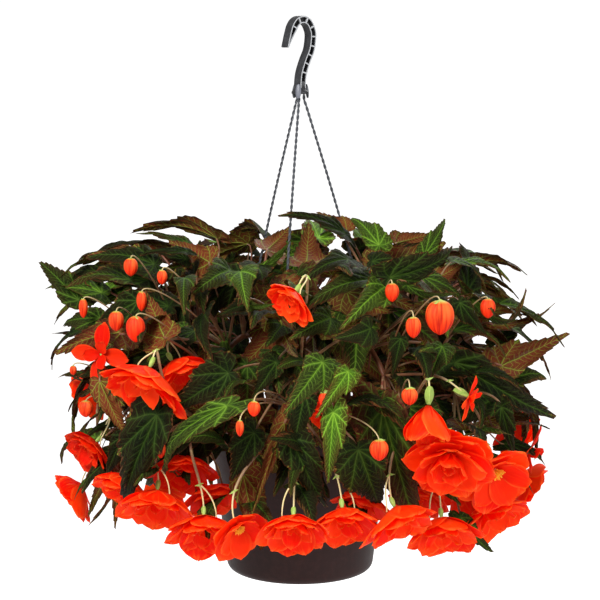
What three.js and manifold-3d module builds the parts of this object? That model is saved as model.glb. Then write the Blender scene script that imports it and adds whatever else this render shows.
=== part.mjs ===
// Hanging basket of tuberous begonia: a plastic pot on three twisted strands
// and a moulded hook, planted with twelve leafy stems and their blooms.
// Millimetres, +Z up, front is -Y. The origin is where the hook bears on its rail.
import * as THREE from 'three';
import { mergeVertices } from 'three/addons/utils/BufferGeometryUtils.js';
import Module from 'manifold-3d';

const wasm = await Module();
wasm.setup();

// ---- driving dimensions -------------------------------------------------
const CLEARANCE = 0.3;            // between pieces that touch

const POT_BASE_R = 92;
const POT_WALL_TOP_R = 114;
const POT_LIP_R = 126;
const POT_HEIGHT = 186;
const POT_WALL = 2.4;
const POT_LIP_T = 4;              // thickness of the rolled flange
const POT_SIDES = 24;
const DRAIN_R = 5;
const DRAIN_RING_R = 48;
const DRAIN_COUNT = 5;

const SOIL_TOP = 168;
const SOIL_CROWN = 6;             // the soil is a little higher in the middle
const SOIL_SIDES = 24;

const COLLAR_Z = 597;             // underside of the hook's collar above the pot's base
const COLLAR_R = 10.5;
const COLLAR_TOP_R = 6;
const COLLAR_H = 12;
const ARCH_TOP = 90.5;            // top of the band's middle line above the collar's underside
const HOOK_T = 9;                 // band thickness in the plane of the hook
const HOOK_W = 13;                // band width across it
const HOOK_WEB = 4;               // what is left between the pockets of both faces
const HOOK_FLANGE = 1.9;
const HOOK_RIB = 1.5;
const HOOK_POCKETS = 10;
const HOOK_YAW = THREE.MathUtils.degToRad(40);   // plane of the hook, from +X towards +Y

const STRAND_R = 1.8;
const STRAND_RING_R = 120;        // holes in the pot's flange
const STRAND_AZIMUTHS = [-12.8, -132.8, 107.2];  // degrees from the front, + to the right
const STRAND_BOW = 5;
const STRAND_STEPS = 8;
const STRAND_SOCKET_R = 5.2;      // ring of the three sockets in the collar
const SOCKET_DEPTH = 8;
const BUTTON_R = 4.6;
const BUTTON_H = 3;

const STEM_COUNT = 12;
const STEM_R = 4.2;
const STEM_SIDES = 5;
const STEM_STEPS = 8;             // stalks leave a stem at the ends of its straight steps
const STEM_DEPTH = 14;            // how far a stem stands in the soil

const EYE = new THREE.Vector3(0, -2228, 654);    // the point the front of the bush is laid out from
const MOUND_R = 325;              // reach of the foliage from the pot's axis
const MOUND_Z = 250;              // height where it reaches furthest
const MOUND_UP = 215;
const MOUND_DOWN = 260;
const MOUND_POWER = 2.6;
const SKIRT_R = 268;              // the hanging skirt of the front keeps at least this reach
const LEAF_SLIMNESS = 0.72;       // widths in the front's list are for a leaf as broad as long

const BLADE_T = 1.3;              // leaf blade at its midrib
const PETAL_T = 1.0;
const PETIOLE_R = 1.5;
const PEDICEL_R = 1.3;

// ---- materials ----------------------------------------------------------
const plastic = (color, roughness) => new THREE.MeshStandardMaterial({ color, roughness, metalness: 0 });
const potPlastic = plastic(0x3a2f2f, 0.5);
const hookPlastic = plastic(0x4a4d52, 0.5);
const strandPlastic = plastic(0x45484e, 0.5);
const soilMaterial = new THREE.MeshStandardMaterial({ color: 0x2c1f17, roughness: 0.95 });
const leafMaterial = new THREE.MeshStandardMaterial({ color: 0x24421f, roughness: 0.55 });
const petalMaterial = new THREE.MeshStandardMaterial({ color: 0xff3a10, roughness: 0.5 });

// ---- small tools --------------------------------------------------------
const V = (x, y, z) => new THREE.Vector3(x, y, z);
const rad = THREE.MathUtils.degToRad;

// a repeatable draw between 0 and 1 from two whole numbers
function draw(a, b) {
  const value = Math.sin(a * 127.1 + b * 311.7) * 43758.5453;
  return value - Math.floor(value);
}

function toSolid(geometry) {
  const bare = geometry.clone();
  bare.deleteAttribute('normal');
  bare.deleteAttribute('uv');
  const merged = mergeVertices(bare, 1e-4);
  return new wasm.Manifold(new wasm.Mesh({
    numProp: 3,
    vertProperties: new Float32Array(merged.attributes.position.array),
    triVerts: new Uint32Array(merged.index.array),
  }));
}

function toGeometry(solid) {
  const mesh = solid.getMesh();
  const geometry = new THREE.BufferGeometry();
  geometry.setAttribute('position', new THREE.BufferAttribute(new Float32Array(mesh.vertProperties), 3));
  geometry.setIndex(new THREE.BufferAttribute(new Uint32Array(mesh.triVerts), 1));
  geometry.computeVertexNormals();
  return geometry;
}

function fuse(solids) {
  return solids.reduce((whole, next) => whole.add(next));
}

const biggest = (solid) => solid.decompose().sort((a, b) => b.volume() - a.volume())[0];

function polygon(radius, sides) {
  const corners = [];
  for (let i = 0; i < sides; i += 1) {
    const angle = (2 * Math.PI * i) / sides;
    corners.push(new THREE.Vector2(radius * Math.cos(angle), radius * Math.sin(angle)));
  }
  return new THREE.Shape(corners);
}

function stalk(curve, radius, sides, steps) {
  return toSolid(new THREE.ExtrudeGeometry(polygon(radius, sides), {
    extrudePath: curve, steps, bevelEnabled: false,
  }));
}

const thinStalk = (curve) => stalk(curve, PEDICEL_R, 3, 4);

function lathe(profile, sides) {
  return toSolid(new THREE.LatheGeometry(profile.map(([r, z]) => new THREE.Vector2(r, z)), sides)
    .rotateX(Math.PI / 2));
}

function post(x, y, bottom, top, radius, sides) {
  const geometry = new THREE.CylinderGeometry(radius, radius, top - bottom, sides);
  return toSolid(geometry.rotateX(Math.PI / 2).translate(x, y, (top + bottom) / 2));
}

// the direction at an azimuth in degrees from the front, + to the right
const outward = (azimuth) => V(Math.sin(rad(azimuth)), -Math.cos(rad(azimuth)), 0);

// ---- pot, soil, hook and strands ----------------------------------------
function makePot() {
  const slope = (POT_WALL_TOP_R - POT_BASE_R) / POT_HEIGHT;
  const lipFoot = POT_HEIGHT - POT_LIP_T;
  const inner = (z) => POT_BASE_R - POT_WALL + slope * z;
  const body = lathe([
    [0, 0], [POT_BASE_R - 5, 0], [POT_BASE_R, 4],
    [POT_BASE_R + slope * lipFoot, lipFoot], [POT_LIP_R - 1, lipFoot], [POT_LIP_R, lipFoot + 1.5],
    [POT_LIP_R, POT_HEIGHT - 1], [POT_LIP_R - 1.5, POT_HEIGHT], [inner(POT_HEIGHT), POT_HEIGHT],
    [inner(POT_WALL + 2), POT_WALL + 2], [inner(0) - 5, POT_WALL], [0, POT_WALL],
  ], POT_SIDES);
  const holes = [];
  for (let i = 0; i < DRAIN_COUNT; i += 1) {
    const at = outward((360 * i) / DRAIN_COUNT).multiplyScalar(DRAIN_RING_R);
    holes.push(post(at.x, at.y, -1, POT_WALL + 1, DRAIN_R, 10));
  }
  for (const azimuth of STRAND_AZIMUTHS) {
    const at = outward(azimuth).multiplyScalar(STRAND_RING_R);
    holes.push(post(at.x, at.y, lipFoot - 1, POT_HEIGHT + 1, STRAND_R + 1.4, 8));
  }
  return body.subtract(fuse(holes));
}

function stemFoot(index) {
  const reach = index % 2 ? 44 : 74;
  return outward(index * (360 / STEM_COUNT) + 9).multiplyScalar(reach);
}

function makeSoil() {
  const slope = (POT_WALL_TOP_R - POT_BASE_R) / POT_HEIGHT;
  const edge = (z) => POT_BASE_R - POT_WALL + slope * z - 1.2;
  const floor = POT_WALL + CLEARANCE;
  const body = lathe([
    [0, floor], [edge(0) - 6, floor], [edge(8), 8], [edge(SOIL_TOP), SOIL_TOP],
    [60, SOIL_TOP + SOIL_CROWN * 0.7], [0, SOIL_TOP + SOIL_CROWN],
  ], SOIL_SIDES);
  const holes = [];
  for (let i = 0; i < STEM_COUNT; i += 1) {
    const foot = stemFoot(i);
    holes.push(post(foot.x, foot.y, SOIL_TOP - STEM_DEPTH - 2 * CLEARANCE, SOIL_TOP + 20, STEM_R + 3.2, 6));
  }
  return body.subtract(fuse(holes));
}

// middle line of the hook from its tip over the arch to the collar, as (along, up)
const hookLine = new THREE.CatmullRomCurve3([
  V(-23.7, 56.9, 0), V(-16.9, 73.2, 0), V(-9.4, 86.2, 0), V(0, ARCH_TOP, 0), V(9.6, 87.4, 0),
  V(15.2, 78.6, 0), V(16.8, 70, 0), V(14.3, 54.2, 0), V(7.7, 40.5, 0), V(2, 26, 0), V(0, 14, 0), V(0, 4, 0),
]);

// thickness of the band at a fraction of that line
const hookThickness = (s) => HOOK_T * Math.min(1, 0.24 + 4.2 * s);

function hookEdge(s, side, inset) {
  const at = hookLine.getPointAt(s);
  const along = hookLine.getTangentAt(s);
  const half = (hookThickness(s) / 2 - inset) * side;
  return new THREE.Vector2(at.x - along.y * half, at.y + along.x * half);
}

function hookSlab(from, to, inset, steps, thickness, lift) {
  const near = [];
  const far = [];
  for (let i = 0; i <= steps; i += 1) {
    const s = from + ((to - from) * i) / steps;
    near.push(hookEdge(s, -1, inset));
    far.unshift(hookEdge(s, 1, inset));
  }
  const geometry = new THREE.ExtrudeGeometry(new THREE.Shape([...near, ...far]), {
    depth: thickness, bevelEnabled: false,
  });
  geometry.translate(0, 0, lift);
  geometry.rotateX(Math.PI / 2).rotateZ(HOOK_YAW).translate(0, 0, COLLAR_Z);
  return toSolid(geometry);
}

function makeHook() {
  const band = hookSlab(0, 1, 0, 20, HOOK_W, -HOOK_W / 2);
  const collar = lathe([
    [0, 0], [COLLAR_R, 0], [COLLAR_R, 3], [COLLAR_TOP_R, COLLAR_H], [0, COLLAR_H],
  ], 16).translate([0, 0, COLLAR_Z]);
  const first = 0.11;
  const pitch = (0.93 - first) / HOOK_POCKETS;
  const rib = HOOK_RIB / hookLine.getLength();
  const pockets = [];
  for (let i = 0; i < HOOK_POCKETS; i += 1) {
    const from = first + pitch * i;
    pockets.push(hookSlab(from, from + pitch - rib, HOOK_FLANGE, 1, HOOK_W, HOOK_WEB / 2));
    pockets.push(hookSlab(from, from + pitch - rib, HOOK_FLANGE, 1, HOOK_W, -HOOK_W - HOOK_WEB / 2));
  }
  const sockets = STRAND_AZIMUTHS.map((azimuth) => {
    const at = outward(azimuth).multiplyScalar(STRAND_SOCKET_R);
    return post(at.x, at.y, COLLAR_Z - 1, COLLAR_Z + SOCKET_DEPTH, STRAND_R + CLEARANCE * 1.3, 8);
  });
  return band.subtract(fuse(pockets)).add(collar).subtract(fuse(sockets));
}

// a line through given corners, one step of a tube for each
class Route extends THREE.Curve {
  constructor(corners) {
    super();
    this.corners = corners;
  }

  getPoint(t) {
    const place = t * (this.corners.length - 1);
    const from = Math.min(Math.floor(place), this.corners.length - 2);
    return this.corners[from].clone().lerp(this.corners[from + 1], place - from);
  }

  getUtoTmapping(u) {
    return u;
  }
}

// a strand runs from its socket in the collar through the pot's flange, bowed a
// little outwards, and ends in a button
function makeStrand(azimuth) {
  const away = outward(azimuth);
  const at = (r, z) => away.clone().multiplyScalar(r).setZ(z);
  const under = POT_HEIGHT - POT_LIP_T - CLEARANCE;
  const exit = COLLAR_Z - 6;
  const entry = POT_HEIGHT + 4;
  const corners = [at(STRAND_SOCKET_R, COLLAR_Z + SOCKET_DEPTH - CLEARANCE)];
  for (let i = 0; i <= STRAND_STEPS; i += 1) {
    const s = i / STRAND_STEPS;
    const bow = STRAND_BOW * Math.sin(Math.PI * s);
    corners.push(at(THREE.MathUtils.lerp(STRAND_SOCKET_R, STRAND_RING_R, s) + bow,
      THREE.MathUtils.lerp(exit, entry, s)));
  }
  corners.push(at(STRAND_RING_R, under - BUTTON_H / 2));
  const end = at(STRAND_RING_R, 0);
  return stalk(new Route(corners), STRAND_R, 6, corners.length - 1)
    .add(post(end.x, end.y, under - BUTTON_H, under, BUTTON_R, 8));
}

// ---- layout of the bush -------------------------------------------------
// reach of the foliage mound at a height: a superellipse, flatter above than below
function reach(height) {
  const rise = height - MOUND_Z;
  const share = Math.min(1, Math.abs(rise) / (rise > 0 ? MOUND_UP : MOUND_DOWN));
  return MOUND_R * (1 - share ** MOUND_POWER) ** (1 / MOUND_POWER);
}

// a place named by where it shows on the upright plane through the pot's axis
// (across, height), and by its layer: 1 on the mound's front, 0 on that plane, -1 on its back
function place(across, height, layer, extra = 0) {
  const r = height < MOUND_Z ? Math.max(reach(height), SKIRT_R) : reach(height);
  const depth = -layer * Math.sqrt(Math.max(0, r * r - across * across)) - extra;
  const onPlane = V(across, 0, height);
  return EYE.clone().lerp(onPlane, (depth - EYE.y) / -EYE.y);
}

const azimuthOf = (point) => THREE.MathUtils.radToDeg(Math.atan2(point.x, -point.y));
function shootOf(point) {
  const turn = Math.round(azimuthOf(point) / (360 / STEM_COUNT));
  return ((turn % STEM_COUNT) + STEM_COUNT) % STEM_COUNT;
}


// a stalk's middle line, stepped evenly in its own parameter
class Stalk extends THREE.CubicBezierCurve3 {
  getUtoTmapping(u) {
    return u;
  }
}

// a leafy stem rises from the soil, leans out over the flange and droops
function stemLine(index) {
  const foot = stemFoot(index);
  const away = outward(index * (360 / STEM_COUNT));
  const lift = 22 * (draw(index, 3) - 0.5);
  const far = 210 + 30 * draw(index, 4);
  return new Stalk(
    foot.clone().setZ(SOIL_TOP - STEM_DEPTH), foot.clone().setZ(330 + lift),
    away.clone().multiplyScalar(150).setZ(375 + lift), away.clone().multiplyScalar(far).setZ(236 + lift),
  );
}

// ---- leaf ---------------------------------------------------------------
// half outlines about the petiole's end: degrees from the midrib and share of the length
const BROAD = [[0, 1], [10, 0.72], [22, 0.54], [36, 0.52], [62, 0.38], [88, 0.38], [128, 0.31], [163, 0.18]];
const NARROW = [[180, 0.06], [150, 0.13], [92, 0.25], [48, 0.37], [30, 0.40], [12, 0.64]];
const MIDRIB = [0, 0.35, 0.68];
const BROAD_ROOTS = [2, 1, 1, 0, 0, 0, 0, 0];   // midrib point that each outline edge fans from
const NARROW_ROOTS = [0, 0, 0, 1, 1, 2];

// a point of the blade: along and across as shares of the length, arched along
// the midrib and folded up from it
function bladePoint(leaf, along, across) {
  const rise = leaf.arch * 4 * along * (1 - Math.max(along, 0))
    + leaf.fold * Math.abs(across) * leaf.width;
  return leaf.base.clone()
    .addScaledVector(leaf.axis, along * leaf.length)
    .addScaledVector(leaf.side, across * leaf.width * leaf.length)
    .addScaledVector(leaf.up, rise * leaf.length);
}

// one closed body: two sheets that share the outline, and a three-sided petiole
// that grows from the lower sheet at the midrib's foot and ends in the stem
function makeLeaf(leaf, petiole) {
  const half = (edges, roots, turn) => edges.map(([angle, r], i) => (
    [r * Math.cos(rad(angle)), turn * r * Math.sin(rad(angle)), roots[i]]));
  const outline = [...half(BROAD, BROAD_ROOTS, 1), ...half(NARROW, NARROW_ROOTS, -1)];
  const count = outline.length;
  const points = outline.map(([x, y]) => bladePoint(leaf, x, y * leaf.hand));
  const skin = (x, face) => bladePoint(leaf, x, 0)
    .addScaledVector(leaf.up, (face * BLADE_T * (1 - 0.4 * x)) / 2);
  for (const face of [1, -1]) MIDRIB.forEach((x) => points.push(skin(x, face)));
  const top = count;
  const under = count + MIDRIB.length;
  // the petiole's corners: one ahead on the midrib, one to each side behind it
  const corners = [[1, 0], [-0.6, 0.9], [-0.6, -0.9]];
  const rings = [];
  for (const share of [1, 0.5, 0]) {
    const along = petiole.getTangent(share);
    const across = leaf.side.clone().addScaledVector(along, -leaf.side.dot(along)).normalize();
    const ahead = share === 1 ? leaf.axis : new THREE.Vector3().crossVectors(across, along);
    const beside = share === 1 ? leaf.side : across;
    rings.push(points.length);
    corners.forEach(([x, y]) => {
      const lie = share === 1 ? skin(0, -1) : petiole.getPoint(share);
      points.push(lie.addScaledVector(ahead, x * PETIOLE_R)
        .addScaledVector(beside, y * PETIOLE_R * leaf.hand));
    });
  }
  const [ahead, left, right] = [rings[0], rings[0] + 1, rings[0] + 2];
  const triangles = [];
  for (let i = 0; i < count; i += 1) {
    const next = (i + 1) % count;
    const [, , root] = outline[i];
    const [, , nextRoot] = outline[next];
    triangles.push([top + root, i, next]);
    if (nextRoot !== root) triangles.push([top + root, next, top + nextRoot]);
    const isBroad = i < BROAD.length;
    const foot = isBroad ? left : right;
    const from = root ? under + root : foot;
    const to = nextRoot ? under + nextRoot : (next < BROAD.length ? left : right);
    triangles.push([from, next, i]);
    if (root !== nextRoot) {
      triangles.push([from, to, next]);
      if (!root || !nextRoot) triangles.push(root ? [from, ahead, to] : [to, from, ahead]);
    } else if (from !== to) triangles.push([from, to, next]);
  }
  for (let r = 0; r < 2; r += 1) {
    for (let k = 0; k < 3; k += 1) {
      const a = rings[r] + k;
      const b = rings[r] + ((k + 1) % 3);
      triangles.push([b, a, a + 3], [b, a + 3, b + 3]);
    }
  }
  triangles.push([rings[2] + 2, rings[2] + 1, rings[2]]);
  points.splice(under, 1, points[ahead].clone());   // the lower sheet has no foot of its own
  const geometry = new THREE.BufferGeometry().setFromPoints(points);
  geometry.setIndex(triangles.flatMap((t) => (leaf.hand > 0 ? t : [t[0], t[2], t[1]])));
  return toSolid(geometry);
}

// a leaf from its petiole's end to its tip; its upper face is turned to `faces`
// and then rolled about the midrib
function leafFrame(row, base, tip, faces) {
  const axis = tip.clone().sub(base);
  const length = axis.length();
  axis.normalize();
  const up = faces.clone().addScaledVector(axis, -faces.dot(axis)).normalize();
  up.applyAxisAngle(axis, rad(row.roll));
  return {
    base, axis, up, length,
    side: new THREE.Vector3().crossVectors(up, axis),
    width: row.width, arch: row.arch, fold: row.fold, hand: row.hand,
  };
}

// the step of a stem whose distance from a point is nearest to the wanted length
function stemStep(stem, point, wanted) {
  let start = null;
  let least = Infinity;
  for (let i = 2; i <= STEM_STEPS; i += 1) {
    const step = stem.getPoint(i / STEM_STEPS);
    const off = Math.abs(step.distanceTo(point) - wanted);
    if (off < least) {
      least = off;
      start = step;
    }
  }
  return start;
}

function petioleLine(leaf, stem, reachBack) {
  const start = stemStep(stem, leaf.base, reachBack);
  const gap = start.distanceTo(leaf.base);
  return new Stalk(
    start, start.clone().lerp(leaf.base, 0.3).add(V(0, 0, gap * 0.15)),
    leaf.base.clone().addScaledVector(leaf.axis, -gap * 0.2).addScaledVector(leaf.up, -gap * 0.2),
    leaf.base.clone().addScaledVector(leaf.axis, 3),
  );
}

// leaves of the front, placed one by one: across and height of the tip, its layer,
// across and height of the petiole's end, its layer, width, roll, arch
const FRONT_LEAVES = [
  [-327, 394, 0.1, -277, 341, 0.3, 0.95, 10, 0.06], [-305, 381, 0.3, -190, 366, 0.35, 0.65, 40, 0.04],
  [-282, 389, -0.3, -235, 394, -0.3, 0.5, 120, 0.15], [-204, 428, 0.2, -140, 412, 0.1, 0.7, 60, 0.03],
  [-200, 404, 0.6, -140, 402, 0.4, 0.6, 50, 0.03], [-302, 312, 0.6, -250, 318, 0.5, 1.0, 25, 0.08],
  [-307, 277, 0.5, -225, 300, 0.5, 0.9, 155, 0.08], [-222, 168, 1, -252, 238, 0.8, 0.8, 165, 0.06],
  [-310, 139, 0.4, -258, 165, 0.4, 0.6, 60, 0.12], [-270, 70, 0.7, -238, 120, 0.3, 0.6, 150, 0.06],
  [-235, 49, 0.8, -228, 122, 0.7, 0.5, 165, 0.05], [-226, 76, 1, -180, 195, 0.85, 0.75, 10, 0.1],
  [-202, 94, 0.85, -130, 186, 0.85, 0.9, 0, 0.08], [-177, 123, 1.05, -92, 206, 1, 0.5, 35, 0.2],
  [-165, 198, 1, -90, 248, 0.95, 1.25, 0, 0.06], [-17, 198, 1.05, 28, 262, 1, 1.2, 0, 0.1],
  [45, 292, 1, 88, 305, 0.95, 1.5, -10, 0.08], [58, 312, 1.05, 106, 358, 0.9, 0.95, 10, 0.12],
  [2, 335, 1, 90, 366, 0.75, 0.65, 35, 0.08], [-25, 451, 0.5, 56, 424, 0.2, 0.75, 50, 0.1],
  [25, 450, -0.2, 58, 428, 0, 1.2, 175, 0.1], [62, 448, 0.5, 98, 410, 0.5, 1.1, 20, 0.1],
  [160, 424, -0.2, 118, 412, 0, 1.4, 180, 0.1], [182, 445, 0.3, 155, 398, 0.2, 0.8, 15, 0.08],
  [197, 405, 0.8, 112, 370, 0.75, 0.8, 30, 0.1], [206, 389, 0.3, 164, 366, 0.35, 1.1, 165, 0.1],
  [205, 419, -0.1, 209, 352, 0.2, 0.9, 30, 0.05], [285, 344, 0.4, 215, 342, 0.5, 0.5, 75, 0.3],
  [319, 326, 0.1, 240, 309, 0.2, 0.5, 115, 0.06], [332, 296, 0.6, 252, 257, 0.4, 0.8, 170, 0.05],
  [325, 187, 0.8, 194, 262, 0.45, 0.58, 10, 0.06], [271, 143, 0.9, 254, 205, 0.8, 0.7, 10, 0.06],
  [246, 11, 1, 205, 62, 0.7, 0.8, 20, 0.06], [152, 39, 1.1, 105, 202, 1, 0.75, 10, 0.08],
  [104, 69, 0.95, 74, 150, 0.95, 1.2, 0, 0.08], [35, 70, 1, -12, 164, 1, 0.9, 5, 0.08],
  [34, 104, 1.15, 42, 198, 1.05, 0.75, 0, 0.1], [22, 195, 1.15, 60, 250, 1.02, 0.85, 0, 0.12],
  [-50, 18, 0.95, -72, 118, 0.75, 0.95, 170, 0.05], [-59, 75, 1.1, -19, 186, 1, 0.4, 175, 0.06],
  [-90, 108, 0.85, -58, 172, 0.85, 1.2, 0, 0.08], [-15, 432, 0.1, -42, 404, 0.3, 1.4, 175, 0.1],
  [-160, 414, 0.2, -112, 388, 0.4, 1.3, 175, 0.1], [-132, 352, 0.9, -88, 378, 0.7, 1.4, 15, 0.1],
  [-66, 336, 0.95, -74, 376, 0.8, 1.1, 0, 0.08], [-146, 331, 0.95, -144, 368, 0.8, 0.9, 0, 0.1],
  [-191, 346, 0.7, -170, 292, 0.9, 1.1, 180, 0.05], [-262, 300, 0.75, -202, 340, 0.7, 1.2, 15, 0.1],
  [-246, 117, 0.95, -222, 168, 0.8, 1.1, 10, 0.06], [175, 177, 0.7, 248, 216, 0.6, 1.1, 15, 0.08],
  [233, 296, 0.8, 200, 338, 0.75, 1.0, 10, 0.1], [116, 246, 1, 126, 292, 0.85, 1.1, 0, 0.08],
  [160, 238, 0.95, 178, 282, 0.85, 1.1, 0, 0.08], [196, 345, 0.9, 134, 360, 0.8, 0.6, 55, 0.1],
  [12, 430, -0.1, 8, 386, 0.2, 1.3, 180, 0.08], [6, 370, 0.8, 60, 392, 0.7, 1.1, 35, 0.1],
  [-10, 416, 0.6, -58, 374, 0.6, 0.55, 30, 0.1], [-102, 324, 0.9, -60, 336, 0.8, 1.1, 20, 0.1],
  [-34, 334, 1, -68, 338, 0.9, 0.8, 40, 0.1], [-12, 292, 0.95, 38, 318, 0.8, 1.1, 10, 0.1],
  [-188, 405, 0.6, -142, 392, 0.5, 0.9, 35, 0.1], [-10, 150, 0.85, 6, 222, 0.85, 1.1, 0, 0.08],
  [-60, 215, 0.9, -30, 262, 0.85, 1.2, 0, 0.08],
];

// leaves of the other sides follow the mound: a tier is the height of the petiole's
// end and of the tip, their layers, and the length
const TIERS = [
  { base: 402, tip: 408, inside: 0.55, out: 1.0, roll: 0 },
  { base: 388, tip: 372, inside: 0.72, out: 1.02, roll: 12 },
  { base: 345, tip: 300, inside: 0.8, out: 1.03, roll: -10 },
  { base: 300, tip: 238, inside: 0.84, out: 1.0, roll: 8 },
  { base: 235, tip: 145, inside: 0.84, out: 0.97, roll: -14 },
  { base: 150, tip: 66, inside: 0.72, out: 0.98, roll: 170 },
];
const FRONT_HALF = 72;            // azimuths nearer the front than this have the leaves placed one by one
const LIE_STEPS = [0, 9, -9, 18, -18, 27, -27, 38, -38, 50, -50, 65];       // shifts along the line of sight
const TIP_STEPS = [0, 14, -14, 28, -28];                         // and of the tip alone
const SWING_STEPS = [0, 7, -7, 14, -14, 21, -21];                // turns of a rule-placed leaf about the axis
const LIFT_STEPS = [0, 12, -12, 24, -24];
const PETIOLE_REACHES = [45, 90];                                // distances from which a petiole may come

function frontLeaf(index, row, lie, tipShift) {
  const [tipX, tipZ, tipLayer, baseX, baseZ, baseLayer, width, roll, arch] = row;
  const base = place(baseX, baseZ, baseLayer, lie);
  const tip = place(tipX, tipZ, tipLayer, lie + tipShift);
  const shape = {
    width: width * LEAF_SLIMNESS, roll, arch,
    fold: 0.1 + 0.12 * draw(index, 11), hand: draw(index, 12) < 0.5 ? -1 : 1,
  };
  return leafFrame(shape, base, tip, V(0, -1, 0.15));
}

function tierLeaf(shoot, tier, swing, lift) {
  const spec = TIERS[tier];
  const seed = shoot * 40 + tier * 4;
  const spread = 360 / STEM_COUNT;
  const azimuth = shoot * spread + (tier % 2 ? 3 : -11) + 8 * (draw(seed, 21) - 0.5) + swing;
  const turn = 24 * (draw(seed, 22) - 0.5);
  // the two top tiers sit lower on the right
  const slump = tier < 2 ? 46 * Math.max(0, outward(azimuth).x) ** 2 : 0;
  const drop = 24 * (draw(seed, 23) - 0.5) + lift - slump;
  const base = outward(azimuth).multiplyScalar(reach(spec.base) * spec.inside).setZ(spec.base + drop * 0.5);
  const tip = outward(azimuth + turn).multiplyScalar(reach(spec.tip) * spec.out).setZ(spec.tip + drop);
  const shape = {
    width: 0.6 + 0.3 * draw(seed, 24), roll: spec.roll + 24 * (draw(seed, 25) - 0.5),
    arch: 0.04 + 0.06 * draw(seed, 26), fold: 0.1 + 0.12 * draw(seed, 27),
    hand: draw(seed, 28) < 0.5 ? -1 : 1,
  };
  return leafFrame(shape, base, tip, outward(azimuth).add(V(0, 0, 0.5)));
}

// ---- blooms -------------------------------------------------------------
// rings of petals: how many, lean from the bloom's axis, length and width as
// shares of its radius, how far the petal bends back, how far it cups
const BLOOM_KINDS = {
  double: [
    { count: 5, lean: 84, long: 1, wide: 0.92, curl: 0.12, cup: 0.1 },
    { count: 3, lean: 41, long: 0.8, wide: 0.8, curl: 0.08, cup: 0.1 },
  ],
  skirt: [
    { count: 6, lean: 66, long: 1.12, wide: 0.84, curl: 0.06, cup: 0.1 },
    { count: 3, lean: 34, long: 1, wide: 0.75, curl: 0, cup: 0.1 },
  ],
  single: [{ count: 5, lean: 78, long: 1, wide: 0.92, curl: 0.1, cup: 0.1 }],
  star: [{ count: 4, lean: 80, long: 1.15, wide: 0.56, curl: 0.08, cup: 0.1 }],
  bell: [{ count: 4, lean: 40, long: 1.15, wide: 0.86, curl: -0.05, cup: 0.12 }],
};

// across, height, layer, radius, kind, facing: to the right, to the back, up
const FRONT_BLOOMS = [
  [-250, 272, 0.7, 36, 'star', -0.3, -0.85, 0.1], [-189, 256, 1.05, 48, 'skirt', -0.35, -0.45, -0.8],
  [-161, 264, 0.95, 36, 'skirt', 0.5, -0.4, -0.75], [-258, 160, 0.65, 34, 'skirt', -0.6, -0.6, -0.5],
  [-181, 98, 1, 44, 'skirt', -0.1, -0.55, -0.8], [-122, 64, 1.05, 41, 'skirt', 0.05, -0.6, -0.75],
  [-80, 50, 1.15, 33, 'single', 0.45, -0.75, -0.5], [-150, 142, 0.75, 38, 'skirt', 0, -0.6, -0.7],
  [-112, 104, 0.7, 33, 'skirt', 0.2, -0.6, -0.7], [-8, 64, 1.12, 38, 'skirt', 0, -0.7, -0.7],
  [54, 74, 1.08, 39, 'skirt', 0.1, -0.6, -0.75], [84, 96, 0.75, 34, 'skirt', -0.3, -0.5, -0.8],
  [120, 76, 1, 42, 'skirt', 0.4, -0.45, -0.8], [190, 146, 1.1, 50, 'double', -0.1, -0.75, -0.6],
  [246, 124, 1, 46, 'single', 0.3, -0.8, -0.5], [288, 146, 0.6, 38, 'star', 0.85, -0.3, -0.35],
  [180, 62, 0.98, 42, 'skirt', 0.05, -0.6, -0.75], [238, 82, 0.9, 46, 'skirt', 0.35, -0.6, -0.7],
  [162, 208, 1.1, 38, 'bell', -0.1, -0.35, -0.95], [212, 218, 0.95, 26, 'star', 0.85, -0.4, -0.35],
  [-6, 352, 0.95, 28, 'skirt', -0.5, -0.5, -0.6], [30, 214, 0.82, 24, 'bell', -0.2, -0.6, -0.7],
  [216, 106, 0.5, 34, 'skirt', 0.1, -0.7, -0.6], [152, 100, 0.6, 32, 'skirt', -0.2, -0.65, -0.7],
  [-216, 116, 0.8, 40, 'skirt', -0.45, -0.5, -0.75],
];
const BACK_BLOOMS = 9;
const BLOOM_STEPS = [0, 14, -14, 28, -28, 42, -42, 56, 70, 84];          // shifts along the line of sight
const BULGES = [30, 10, 50, 70, -10, 90, 110, -25];               // how far a pedicel swings outwards

function bloomFrame(centre, radius, kind, facing, seed) {
  const axis = facing.clone().normalize();
  const start = Math.abs(axis.z) > 0.9 ? V(1, 0, 0) : V(0, 0, 1);
  const across = new THREE.Vector3().crossVectors(axis, start).normalize();
  const other = new THREE.Vector3().crossVectors(axis, across);
  return { centre, axis, across, other, radius, kind, seed };
}

function frontBloom(index, extra) {
  const [across, height, layer, radius, kind, right, back, up] = FRONT_BLOOMS[index];
  return bloomFrame(place(across, height, layer, extra), radius, kind, V(right, back, up), index);
}

function backBloom(index, extra) {
  const azimuth = 78 + (204 * (index + 0.5)) / BACK_BLOOMS + 8 * (draw(index, 31) - 0.5);
  const height = [110, 165, 70, 215][index % 4] + 20 * (draw(index, 32) - 0.5);
  const away = outward(azimuth);
  const centre = away.clone().multiplyScalar(reach(height) * 0.96 - 8 + extra).setZ(height);
  const kind = ['skirt', 'double', 'skirt', 'single'][(index + (index >> 2)) % 4];
  const facing = away.clone().multiplyScalar(0.8).setZ(-0.55);
  return bloomFrame(centre, 32 + 10 * draw(index, 33), kind, facing, 40 + index);
}

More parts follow.
